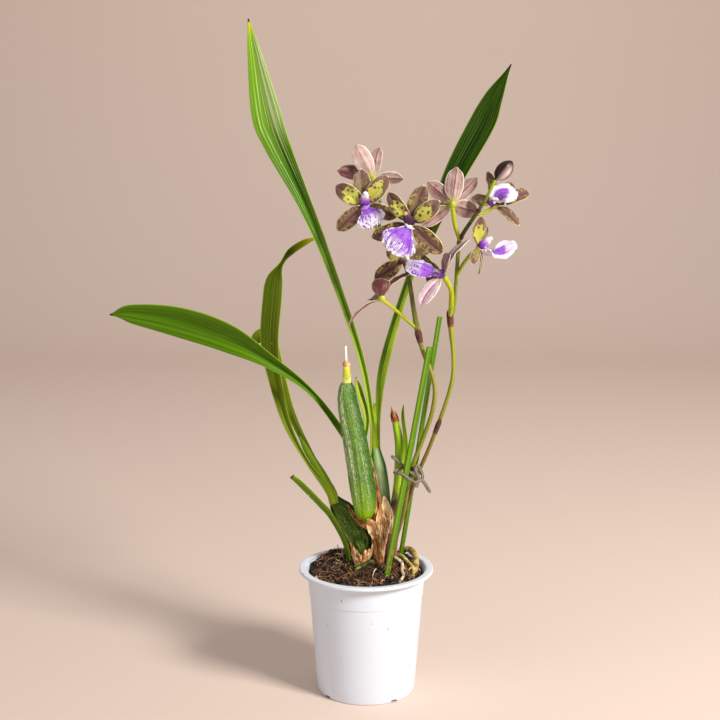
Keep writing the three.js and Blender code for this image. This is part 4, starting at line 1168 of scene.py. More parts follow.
def bud_finish(settings):
    """The bud: dark, with a painted pinkish highlight on its lower front."""
    paint = Finish("Bud", 0.34, 0.28)
    fine = paint.streaks(16, 1, 8)
    paint.base = paint.mix(fine * 0.25, settings.bud, settings.rose)
    # painted highlight: pinkish, from the right side round to the front, on the lower part of the bud
    bloom = paint.level(paint.across(), (0.05, 0), (0.11, 0.75), (0.18, 0.95), (0.24, 0.5), (0.29, 0))
    paint.coat(bloom * paint.blade()[1].step(0.85, 0.55) * (0.6 + fine * 0.4), "dcc4bc")
    return paint.done(fine + paint.cloud(1200), 0.08)


def bulb_finish(name, look, seed):
    """A pseudobulb: green, painted shade at its sides, pale rows along its ridges, partly painted glints."""
    paint = Finish(name, 0.34, 0.22)
    across, along, _ = paint.parts(paint.map)
    ground, shade, light = look["colours"]
    rows = paint.streaks(42, 7, seed)
    crumbs = paint.streaks(64, 70, seed + 3)
    # painted shade: the shaded bands darken the sides; the cloud patches next are the bulb's own mottling
    paint.base = paint.mix(paint.level(across, *look["shaded"]), ground, shade)
    paint.coat(paint.cloud(110, 3).step(0.45, 0.65) * 0.35, shade)
    # pale marks and dots, partly real and partly painted glints; sheen is a painted highlight band
    flecks_and_glints = paint.most(rows * crumbs * look["flecks_and_glints"], look["sheen"] + rows * 0.12)
    paint.coat(paint.level(across, *look["pale"]) * flecks_and_glints, light)
    paint.coat(paint.specks(420, 0.3) * look["dots"], light)
    if "lime" in look:
        low = along + paint.cloud(90) * 0.22 - across * 0.3
        paint.coat(low.step(0.46, 0.14), look["lime"])
    gloss = paint.node("MapRange", (crumbs, 0, 1, 0.22, 0.42))
    return paint.done(crumbs + rows, look["relief"], gloss)


def papery_finish(settings):
    """Dry sheaths: tan, with painted shade in their creases and painted highlights on their crests, paler
    where bleached.
    """
    paint = Finish("Dry Sheath", 0.55, 0.3)
    crest, light, seed = paint.parts(paint.tone())
    fine = paint.streaks(28, 2, seed)
    # crest: painted shade in creases, painted highlight on crests; light: partly bleaching, partly painted
    # highlight
    value = crest * 0.75 + fine * 0.14 - 0.08 + (paint.cloud(170, 4) - 0.5) * 1.1 + light * 0.4
    dark = (0.08, "1e0f08"), (0.26, "6e3414"), (0.46, settings.papery)
    paint.base = paint.ramp(value, *dark, (0.7, "d89a58"), (0.92, "f8dcac"))
    return paint.done(fine + paint.cloud(700, 4), 0.3)


def skin_finish(name, ground, light, stain, roughness=0.5, scale=260, top=None):
    """A root, stub or rhizome: a ground colour with light flecks, dark stains and a top of its own."""
    paint = Finish(name, roughness)
    cloud = paint.cloud(scale, 4)
    paint.base = paint.mix(cloud.step(0.42, 0.62), ground, light)
    paint.coat(paint.patches(scale * 0.8, 0.3) * 0.8, stain)
    if top:
        high = paint.blade()[1] + cloud * 0.3
        paint.coat(high.step(0.85, 1.12), top)
    return paint.done(cloud + paint.cloud(scale * 5, 3), 0.25)


def own_finish(name, roughness=0.8, depth=0.3, scale=700, dark=0.55):
    """Loose bits that carry their own colour, broken up by grain."""
    paint = Finish(name, roughness)
    own = paint.tone()
    cloud = paint.cloud(scale, 4)
    paint.base = paint.mix(cloud.step(0.4, 0.65) * dark, own, "140c08")
    return paint.done(cloud, depth)


def pot_finish(settings):
    """White moulded plastic with a few specks of dirt and a darker inner wall and rim, partly grime and
    partly painted shade.
    """
    paint = Finish("Pot Plastic", 0.36, 0.45)
    x, y, height = paint.parts(paint.place)
    paint.base = paint.mix(paint.cloud(30, 4) * 0.1, settings.pot, "b4b8c2")
    out = paint.calc("SQRT", x * x + y * y)
    # the inner wall above the mix and the inner part of the rim, by their places in metres
    wall = out.step(0.0518, 0.0514) * height.step(0.0985, 0.104)
    lip = out.step(0.0552, 0.0535) * height.step(0.1112, 0.112)
    # dark patches on them: partly real grime and partly painted shade inside the pot
    grime_and_shade = paint.most(wall, lip) * paint.most(paint.patches(260, 0.5) * 0.45, paint.specks(420, 0.22))
    bits = paint.specks(95, 0.09) * height.step(0.02, 0.1)
    paint.coat(paint.most(grime_and_shade, bits) * 0.8, settings.dirt)
    gloss = paint.node("MapRange", (paint.cloud(90, 3), 0.3, 0.7, 0.3, 0.44))
    return paint.done(paint.cloud(500), 0.02, gloss)


def stake_finish(settings):
    """Plastic-coated stakes: green with lengthwise scuffs, a painted highlight stripe and pale worn bands low
    down.
    """
    paint = Finish("Stake Coating", 0.36, 0.25)
    fine, own = paint.streaks(9, 3, 2), np.array(settings.stake)
    paint.base = paint.mix(fine * 0.7, tuple(own), tuple(own * (0.5, 0.55, 0.4, 1)))
    # painted highlight: a pale stripe along one side of each stake
    light = paint.level(paint.across(), (0.2, 0), (0.3, 0.55), (0.38, 0.45), (0.46, 0))
    paint.coat(light, "a2c42c")
    paint.coat(paint.specks(300, 0.2) * 0.35, "c8c88a")
    low = paint.parts(paint.place)[2].step(0.138, 0.118)
    paint.coat(paint.patches(200, 0.42) * low * 0.8, "b98a5a")
    return paint.done(fine, 0.05)


def tie_finish(settings):
    """Paper twist tie, creased and scuffed, with a painted highlight over its wire."""
    paint = Finish("Twist Tie", 0.55)
    fine = paint.streaks(10, 20, 9)
    # painted highlight along the ridge over the wire, on both faces of the strip
    runs = (0.17, 0), (0.25, 0.8), (0.33, 0), (0.67, 0), (0.75, 0.8), (0.83, 0)
    wire = paint.level(paint.across(), *runs)
    paint.base = paint.mix(paint.most(wire, fine * 0.4), settings.tie, "a89e86")
    paint.coat(paint.patches(420, 0.35) * 0.6, "2c261c")
    return paint.done(fine, 0.12)


def floor_finish(settings):
    """The plain pale floor and backdrop."""
    paint = Finish("Studio Floor", 0.75)
    own = settings.floor
    paint.base = paint.mix(paint.cloud(4, 3) * 0.08, own, tuple(c * 0.9 for c in own[:3]) + (1,))
    return paint.done()


# -------- operators


class PieceOperator:
    """What the operators share: they can be undone, and make the shared node groups first."""

    bl_options = {"REGISTER", "UNDO"}

    def execute(self, context):
        """Builds the piece."""
        make_groups()
        self.build(context.scene)
        return {"FINISHED"}


class ORCHID_OT_leaves(PieceOperator, bpy.types.Operator):
    """Builds the leaves with their pleats and veins"""

    bl_idname = "orchid.leaves"
    bl_label = "Leaves"

    def build(self, scene):
        """Each leaf is a sheet swept along its midline and given its thickness."""
        settings = scene.orchid_leaves
        # right in these looks gives painted light on one half of each neck.
        young = {"age": ((0, 0), (1, 0.25)), "olive": 0.15, "right": 0.35, "pale_foot": 0.5}
        necks = {
            "leaf_a": leaf_finish("neck_l", {**young, "right": 0.9, "pale_foot": 1.4}, settings, 4),
            "leaf_e": leaf_finish("neck_s", young, settings, 4),
        }
        for seed, (name, leaf) in enumerate(LEAVES.items()):
            pleat, veins, ripple, *fine = WIDE_LEAF if name in PLEATED else SLIM_LEAF
            place = blade_shape(
                leaf["rows"], leaf.get("facing", FRONT), pleat=pleat, veins=veins,
                depth=settings.vein, ripple=ripple, seed=seed,
            )
            piece = grid(f"{name}_blade", *fine, place, [leaf_finish(name, leaf, settings, 10 * seed)])
            thicken(piece, settings.thickness, 0.45, 0)
            if name in NECKS:
                neck = tube(f"{name}_neck", NECKS[name], 24, 30, necks[name])
                piece = join(f"{name}_blade", [piece, neck])
            dress(piece, "leaf_pale" if name in PALE_LEAVES else "leaf_green", name)


class ORCHID_OT_bulbs(PieceOperator, bpy.types.Operator):
    """Builds the pseudobulbs, the cut stub and its fibre"""

    bl_idname = "orchid.bulbs"
    bl_label = "Bulbs"

    def build(self, scene):
        """Bulbs are ribbed tubes with an uneven skin."""
        for seed, (name, look) in enumerate(BULB_LOOKS.items()):
            finish = bulb_finish(name.replace("_", " ").title(), look, seed)
            piece = tube(
                f"{name}_skin", STEMS[name], 110, 100, finish, flat=look["flat"], ribs=look["ribs"],
                ridge=look["ridge"], relief=self.wrinkles(look["wrinkles"], seed),
            )
            dress(piece, "bulb", name)
        yellow = skin_finish("Leaf Stub", "d4d03a", "eae884", "aab22c", 0.45, 90)
        stub = tube("leaf_stub_skin", STEMS["leaf_stub"], 40, 24, yellow, rough=0.12, grain=3)
        dry, parts = papery_finish(scene.orchid_potting), [stub]
        for k, facing in enumerate(((0, -1, 0), (0.5, 1, 0))):
            tone = crumpled(7, 2, k, 0.9)
            parts.append(sleeve(f"stub_rim_{k}", STUB_RIM, dry, 170, facing, 0.5, 0.3, k, 3, 0.2, tone))
        dress(join("leaf_stub_skin", parts), "stub", "leaf_stub")
        white = skin_finish("Stub Fibre", "f4f1e8", "ffffff", "d9cdb4", 0.5, 200)
        rows = STEMS["leaf_stub_fibre"]
        fibre = tube("leaf_stub_fibre_skin", rows, 16, 20, white, rough=0.06, grain=2)
        dress(fibre, "stub", "leaf_stub_fibre")

    @staticmethod
    def wrinkles(kinds, seed):
        """Lengthwise wrinkles of several sizes: how deep, how many round and how broken along."""

        def relief(u, v):
            total = 0
            for k, (depth, around, length) in enumerate(kinds):
                total = total + depth * (folds(u, v, around, length, seed + k) - 0.3)
            return total

        return relief


def crumpled(around, length, seed, light, part=1):
    """The colour attribute of dry paper: creases for painted shade and highlights, how pale it is, and its
    own streaks.
    """

    def tone(u, v):
        crest, every = (folds(part * u, v, around, length, seed) + 1) / 2, np.ones(len(u))
        return np.column_stack([crest, light * every, 1.3 * seed * every, every])

    return tone


class ORCHID_OT_shoot(PieceOperator, bpy.types.Operator):
    """Builds the new shoot with its sheath and dry tip"""

    bl_idname = "orchid.shoot"
    bl_label = "Shoot"

    def build(self, scene):
        """The shoot is a tube with dry flaps at its open tip, and a maroon sheath round its foot."""
        green = leaf_finish("shoot_s", SHOOT_LOOK, scene.orchid_leaves, 3)
        parts = [tube("shoot_core", STEMS["shoot"], 32, 48, green, ribs=3, ridge=0.06)]
        dry = papery_finish(scene.orchid_potting)
        for k, (facing, rows) in enumerate(SHOOT_TIPS):
            tone = crumpled(6, 2, k + 2, -0.3)
            parts.append(sleeve(f"shoot_tip_{k}", rows, dry, 190, facing, 0.1, 0.35, k, 1.6, 0.25, tone))
        dress(join("shoot_skin", parts), "leaf_pale", "shoot")
        maroon = skin_finish("Shoot Sheath", "3c1e1c", "5d3528", "7c8a30", 0.45, 90, "8a9a30")
        base = tube("shoot_sheath_skin", STEMS["shoot_sheath"], 32, 48, maroon, ribs=4, ridge=0.04, rough=0.1)
        dress(base, "shoot_sheath", "shoot_sheath")


class ORCHID_OT_sheaths(PieceOperator, bpy.types.Operator):
    """Builds the dry papery sheaths round the bulbs' feet"""

    bl_idname = "orchid.sheaths"
    bl_label = "Dry Sheaths"

    def build(self, scene):
        """A crumpled column with scales that stand off it, and a ragged lump by the left bulb."""
        dry = papery_finish(scene.orchid_potting)
        parts = [self.core("sheath_column", SHEATH_COLUMN, 0.95, 1.1, 2, dry)]
        for k, rows in enumerate(SCALES):
            place = blade_shape(rows, veins=4, depth=0.55, ripple=1.4, seed=k)
            tone = crumpled(7, 1.2, k + 20, SCALE_BLEACH_AND_HIGHLIGHT[k])
            scale = grid(f"scale_{k}", 14, 40, place, [dry], tone=tone)
            thicken(scale, 0.6, 0.4, 0)
            parts.append(scale)
        column = np.array(SHEATH_COLUMN, float)
        for k, (turn, low, tall, light, wrap) in enumerate(FLAKES):
            facing = (math.sin(math.radians(turn)), -math.cos(math.radians(turn)), 0)
            heights = low + tall * np.linspace(0, 1, 5)
            x, y, radius = (np.interp(heights, column[:, 2], column[:, c]) for c in (0, 1, 3))
            stand = 0.7 + 0.12 * k + 0.3 * np.arange(5)  # later flakes lie over earlier ones
            rows = np.column_stack([x, y, heights, radius + stand])
            tone = crumpled(7, 2, k, 0.03 + light, 0.5)
            parts.append(sleeve(f"flake_{k}", rows, dry, wrap, facing, 0.35, 0.5, k, 2, 1, tone, 0.5))
        dress(join("sheath_crown_paper", parts), "dry_sheath", "sheath_crown")
        torn = [self.core("sheath_lump", SHEATH_LUMP, 0.9, 1.3, 8, dry)]
        for k, (rows, light, ragged) in enumerate(TORN_LAYERS):
            look = (160 - 30 * k, (-0.15, -1, 0), ragged, 0.5, k + 3, 2, 1.1)
            torn.append(sleeve(f"torn_{k}", rows, dry, *look, crumpled(7, 2, k + 3, light, 0.5), 0, 0.3))
        dress(join("sheath_left_paper", torn), "dry_sheath", "sheath_left")

    @staticmethod
    def core(name, rows, flat, depth, seed, material):
        """A crumpled column with sharp lengthwise folds and coarse dents."""

        def relief(u, v):
            return depth * folds(u, v, 11, 2.2, seed) + 0.6 * depth * folds(u, v, 22, 6, seed + 1)

        tone = crumpled(11, 2.2, seed, 0)
        return tube(name, rows, 110, 70, material, flat=flat, rough=0.6, grain=5, relief=relief, tone=tone)


class ORCHID_OT_roots(PieceOperator, bpy.types.Operator):
    """Builds the roots above the mix and the rhizome stub"""

    bl_idname = "orchid.roots"
    bl_label = "Roots"

    def build(self, scene):
        """Roots are knobbly tubes, each with its own skin."""
        looks = {
            "root_white": (18, 0.35, 2.6, ("White Root", "cdb994", "efe6d0", "6a4a2c", 0.55, 320)),
            "root_green": (18, 0.35, 2.6, ("Green Root", "b5a850", "d6cf8c", "6a5530", 0.5, 300)),
            "root_old": (28, 0.9, 5.5, ("Old Root", "94703a", "ccb064", "3a240e", 0.75, 180)),
        }
        for seed, (name, rows) in enumerate(ROOTS.items()):
            around, rough, grain, skin = looks[name]
            finish = skin_finish(*skin)
            piece = tube(f"{name}_skin", rows, around, 90, finish, rough=rough, grain=grain, seed=seed)
            dress(piece, "root", name)
        moss = skin_finish("Mossy Rhizome", "3e4410", "7c8a2c", "3a2412", 0.75, 260)
        stub = tube("rhizome_skin", STEMS["rhizome"], 48, 70, moss, rough=1.2, grain=3.2, seed=5)
        dress(stub, "rhizome", "rhizome")


class ORCHID_OT_spikes(PieceOperator, bpy.types.Operator):
    """Builds the flower stems with their stalks and bracts"""

    bl_idname = "orchid.spikes"
    bl_label = "Flower Spikes"

    def build(self, scene):
        """Each spike is one axis with four stalks, and a scale at each node."""
        stem, bract = stem_finish(), bract_finish()
        for name, spike in SPIKES.items():
            axis = spike["axis"]
            parts = [self.stalk(f"{name}_axis", axis, spike["colours"], stem, 14 * len(axis))]
            for k, rows in enumerate(spike["stalks"]):
                parts.append(self.stalk(f"{name}_stalk_{k}", rows, STALK_COLOURS, stem, 36))
            for k, (start, length) in enumerate(spike["bracts"]):
                parts.append(self.bract(f"{name}_bract_{k}", axis, start, length, bract))
            dress(join(f"{name}_stems", parts), "spike", name)

    @staticmethod
    def stalk(name, rows, codes, material, along):
        """A stem whose colour changes along it."""
        stops = np.array([rgb(code) for code in codes])

        def tone(u, v):
            share = along_stem(v, along)
            return np.stack([np.interp(share, np.linspace(0, 1, len(stops)), c) for c in stops.T], axis=1)

        return tube(name, rows, 16, along, material, rough=0.08, grain=5, tone=tone)

    @staticmethod
    def bract(name, rows, start, length, material):
        """A scale wrapped round a stem from one share of its length to another."""
        run = Run(rows)
        shares = np.linspace(start, start + length, len(BRACT_STAND))
        rows = np.column_stack([run.point(shares), run.track(0, shares) + BRACT_STAND])
        return sleeve(name, rows, material, 290, ragged=0.1, taper=2.2)


class ORCHID_OT_blooms(PieceOperator, bpy.types.Operator):
    """Builds the nine blooms and their lips"""

    bl_idname = "orchid.blooms"
    bl_label = "Blooms"

    def build(self, scene):
        """A bloom has five tepals, a column with its cap, and a lip of its own."""
        settings = scene.orchid_flowers
        self.thickness, self.frill = settings.thickness, settings.frill
        self.face, self.back = tepal_finish(settings), reverse_finish(settings)
        self.lip_face, self.lip_back = lip_finish(settings), lip_back_finish(settings)
        self.knob = skin_finish("Flower Base", "b4bc1e", "d2d068", "8f9a1e", 0.4, 160)
        self.column, self.cap, self.crest = column_finish(settings), cap_finish(), callus_finish(settings)
        for number, bloom in BLOOMS.items():
            bloom = {**bloom, "centre": np.array(bloom["centre"], float)}
            bloom["lip"] = [np.array(point, float) for point in bloom["lip"]]
            parts = [self.tepal(number, k, bloom, tepal) for k, tepal in enumerate(bloom["tepals"])]
            parts += self.middle(number, bloom)
            dress(join(f"bloom_{number}_tepals", parts), "tepal", f"bloom_{number}")
            lip = [self.lip(number, bloom), self.claw(number, bloom), self.callus(number, bloom)]
            for piece in lip[1:]:
                tint(piece, (number in WHITE_CALLUS, 0, 0, 1))
            dress(join(f"lip_{number}_fan", lip), "lip", f"lip_{number}")

    @staticmethod
    def midline(foot, crest, tip, outline, width, fold, roll):
        """Rows along a curved midline, with the widths of an outline."""
        shares = np.linspace(0, 1, len(outline))[:, None]
        points = foot * (1 - shares) ** 2 + crest * 2 * shares * (1 - shares) + tip * shares**2
        return [(*point, max(share * width, 0.6), fold, roll) for point, share in zip(points, outline)]

    def tepal(self, number, k, bloom, tepal):
        """One tepal, cupped a little and rippled at its edge."""
        *offset, width, roll, dark, lime = tepal
        reach, centre = np.array(offset, float), bloom["centre"]
        foot, tip = centre + 0.07 * reach, centre + reach
        bow = BOWS.get((number, k), TEPAL_BOW[k]) * np.linalg.norm(reach)
        crest = (foot + tip) / 2 + 2 * bow * unit(bloom["facing"])
        rows = self.midline(foot, crest, tip, TEPAL_OUTLINE, width, TEPAL_FOLD, roll)
        place = blade_shape(
            rows, bloom["facing"], crowd=1.2, pleat=0.025, veins=5, depth=0.06, ripple=0.45,
            seed=number + 2 * k,
        )
        sides = [self.back, self.back] if (number, k) in TURNED else [self.face, self.back]
        piece = grid(f"bloom_{number}_tepal_{k}", 16, 28, place, sides)
        tint(piece, (dark, lime, 1.7 * number + 0.9 * k, 1))
        thicken(piece, self.thickness, 0.35, 1)
        return piece

    def middle(self, number, bloom):
        """The knob under the tepals and the column with its cap."""
        centre, reach = bloom["centre"], np.array(bloom["column"], float)
        slim = 0.55 if number in AWAY else 1
        rows = [(*(centre + share * reach), slim * radius) for share, radius in COLUMN_ROWS]
        column = tube(
            f"column_{number}", rows, 24, 24, self.column, facing=(1, 0.1, 0), flat=1.15, ribs=3,
            ridge=0.12, rough=0.25, grain=2.4, seed=number,
        )
        ahead, tip = unit(reach), centre + reach + 0.8 * unit(bloom["facing"])
        rows = [(*(tip + along * ahead), radius) for along, radius in CAP_ROWS]
        cap = tube(f"cap_{number}", rows, 20, 14, self.cap, facing=(1, 0.1, 0), rough=0.15, grain=1.5)
        side = HUB_RADIUS * unit(np.cross(ahead, (0.3, 0.2, 1)))
        rows = [(*(centre + along * side), HUB_RADIUS * radius) for along, radius in HUB_ROWS]
        hub = tube(f"hub_{number}", rows, 24, 16, self.knob, facing=ahead)
        for piece in (column, cap):
            tint(piece, (number in DARK_COLUMN, 0, 0, 1))
        return [column, cap, hub]

    def lip(self, number, bloom):
        """The lip: a fan with a ruffled edge and a shallow notch at its end."""
        throat, crest, tip, width, *roll = bloom["lip"]
        roll, outline = roll[0] if roll else 0, LIP_OUTLINES.get(number, LIP_OUTLINE)
        points = (bloom["centre"] + offset for offset in (throat, crest, tip))
        rows = self.midline(*points, outline, width, LIP_FOLD, roll)
        shape = blade_shape(rows, bloom["facing"], veins=8, depth=0.05)
        run, frill = Run(rows), self.frill

        def place(u, v):
            side = 2 * u - 1
            across, outward, forward = run.frames(v, bloom["facing"], roll)
            wave = side**2 * np.sin(4 * np.pi * v + 2 * np.pi * side) * v
            border = np.maximum(np.abs(side) ** 4, v**6) * np.clip(3 * v, 0, 1)
            ruffle = np.sin(15 * side + 4 * np.sin(9 * v) + number) + 0.4 * np.sin(31 * side - 7 * v)
            lift = wave + frill * border * ruffle
            notch = 0.06 * width * v**8 * np.exp(-((side / 0.12) ** 2))
            length = width * 0.1 * v**3 * (1 - side**2) - notch
            scallop = np.sign(side) * 0.35 * frill * border * np.sin(23 * v + 11 * side)
            corners = shape(u, v) + lift[:, None] * outward
            return corners + length[:, None] * forward + scallop[:, None] * across

        piece = grid(f"lip_{number}_sheet", 48, 38, place, [self.lip_face, self.lip_back])
        tint(piece, (*VIOLET[number], 1))
        thicken(piece, self.thickness, 0.35, 1)
        return piece

    def claw(self, number, bloom):
        """The narrow fleshy foot of the lip, that joins it to the flower's base."""
        throat, crest = bloom["lip"][:2]
        centre, ahead = bloom["centre"], unit(crest - throat)
        places = (0 * throat, 0.6 * throat, throat, throat + 2.4 * ahead, throat + 4.2 * ahead)
        rows = [(*(centre + place), radius) for place, radius in zip(places, CLAW_RADII)]
        return tube(f"claw_{number}", rows, 18, 20, self.crest, facing=bloom["facing"], flat=0.6)

    def callus(self, number, bloom):
        """The ridged crescent that stands across the lip's throat."""
        throat, crest, _, width, *_ = bloom["lip"]
        centre = bloom["centre"] + throat
        ahead, face = unit(crest - throat), unit(bloom["facing"])
        side = unit(np.cross(ahead, face))
        top = np.cross(side, ahead)
        half = min(width * 0.18, CALLUS_LENGTH)
        rows = []
        for s in (-1, -0.6, 0, 0.6, 1):
            point = centre + s * half * side + (1.4 + (1 - s * s) * 1.6) * ahead + top
            rows.append((*point, 0.5 + 0.7 * (1 - s * s)))

        def ridges(u, v):
            return CALLUS_HEIGHT * np.abs(np.sin(26 * v))

        return tube(f"callus_{number}", rows, 20, 44, self.crest, facing=tuple(face), relief=ridges)


class ORCHID_OT_bud(PieceOperator, bpy.types.Operator):
    """Builds the unopened bud"""

    bl_idname = "orchid.bud"
    bl_label = "Bud"

    def build(self, scene):
        """A pointed ovoid with three seams."""
        finish = bud_finish(scene.orchid_flowers)
        dress(tube("bud_skin", BUD, 36, 36, finish, ribs=3, ridge=0.05, rough=0.08, grain=3), "bud", "bud")


class ORCHID_OT_supports(PieceOperator, bpy.types.Operator):
    """Builds the two stakes and the twist tie"""

    bl_idname = "orchid.supports"
    bl_label = "Stakes and Tie"

    def build(self, scene):
        """Stakes are rods with a cut top. The tie is a flat strip over a wire."""
        coating = stake_finish(scene.orchid_potting)
        for name, (foot, top, radius) in STAKES.items():
            foot, top = np.array(foot, float), np.array(top, float)
            ends = [(*(foot + (top - foot) * s), radius) for s in np.linspace(0, 1, 8)]
            rod = tube(f"{name}_rod", ends, 28, 60, coating, rough=0.05, grain=12)
            apply_modifier(rod, "BEVEL", width=0.3 * MM, segments=2, limit_method="ANGLE", angle_limit=1)
            dress(rod, "stake", name)
        paper = tie_finish(scene.orchid_potting)
        strips = [self.strip(k, rows, paper) for k, rows in enumerate(TIE_RUNS)]
        dress(join("tie_strips", strips), "tie", "tie")

    @staticmethod
    def strip(k, rows, material):
        """One run of the tie: thin at its edges and raised along its wire."""
        run = Run([(*row, 0) for row in rows])

        def place(u, v):
            across, outward, _ = run.frames(v)
            angle = 2 * np.pi * u
            spread = TIE_HALF * np.cos(angle)
            rise = np.sin(angle) * (PAPER_HALF + WIRE_RISE * np.exp(-((spread / WIRE_HALF) ** 2)))
            crease = 0.18 * np.sin(31 * v + 4 * k) * np.abs(np.cos(angle)) ** 3
            shut = np.where((v < 0.004) | (v > 0.996), 0, 1)
            step = spread[:, None] * across + (rise + crease)[:, None] * outward
            return run.point(v) + shut[:, None] * step

        return grid(f"tie_{k}", 20, 60, place, [material], closed=True)


def soil_height(x, y):
    """Height of the growing mix."""
    rise = np.clip((y + 40) / 85, 0, 1)
    rise = SOIL_RISE * rise * rise * (3 - 2 * rise)
    away = (x - CROWN_MOUND["x"]) ** 2 + (y - CROWN_MOUND["y"]) ** 2
    mound = CROWN_MOUND["height"] * np.exp(-away / (2 * CROWN_MOUND["spread"] ** 2))
    lumps = BROAD_LUMP * np.sin(0.31 * x + 0.5) * np.cos(0.27 * y) + FINE_LUMP * np.sin(0.62 * x - 0.5 * y)
    bank = SOIL_BANK * np.clip((0.3 * y - x - 10) / 36, 0, 1)
    return np.minimum(SOIL_FRONT + rise + mound + lumps + bank, SOIL_TOP)


MIX_REACH = 49  # how far from the middle loose bits may lie
# The smallest and largest sizes of a block, the share of its height that it is lifted, and its skin.
BLOCKS = {
    "bark_chips": (((1, 6.5), (0.7, 3), (0.6, 2.4)), 0.3, (0.75, 0.4, 420)),
    "pale_grains": (((0.4, 1.2), (0.4, 1.1), (0.4, 0.9)), 1.6, (0.8, 0.1, 900, 0.25)),
}
# The least and greatest length and radius of a strand, how it curls and humps, and its number of sides.
STRANDS = {
    "coir_fibres": ((5, 20), (0.1, 0.3), 1.8, 3.4, 3),
    "thick_strands": ((5, 14), (0.35, 0.9), 0.7, 2.6, 5),
}
CHIP_COLOURS = ("4c2612", "1a0c05", "50280f", "0a0503")
FIBRE_COLOURS = ("b4703a", "6a3a1a", "d0985c", "e8ca9c", "2a160a")
STRAND_COLOURS = ("c07c3c", "dcae70", "94501f", "3a1c0c", "f0dcb4", "6a3416", "1c0e06")
GRAIN_COLOURS = ("d8cdb8", "c9b48c", "e8e2d6", "b9b04a")


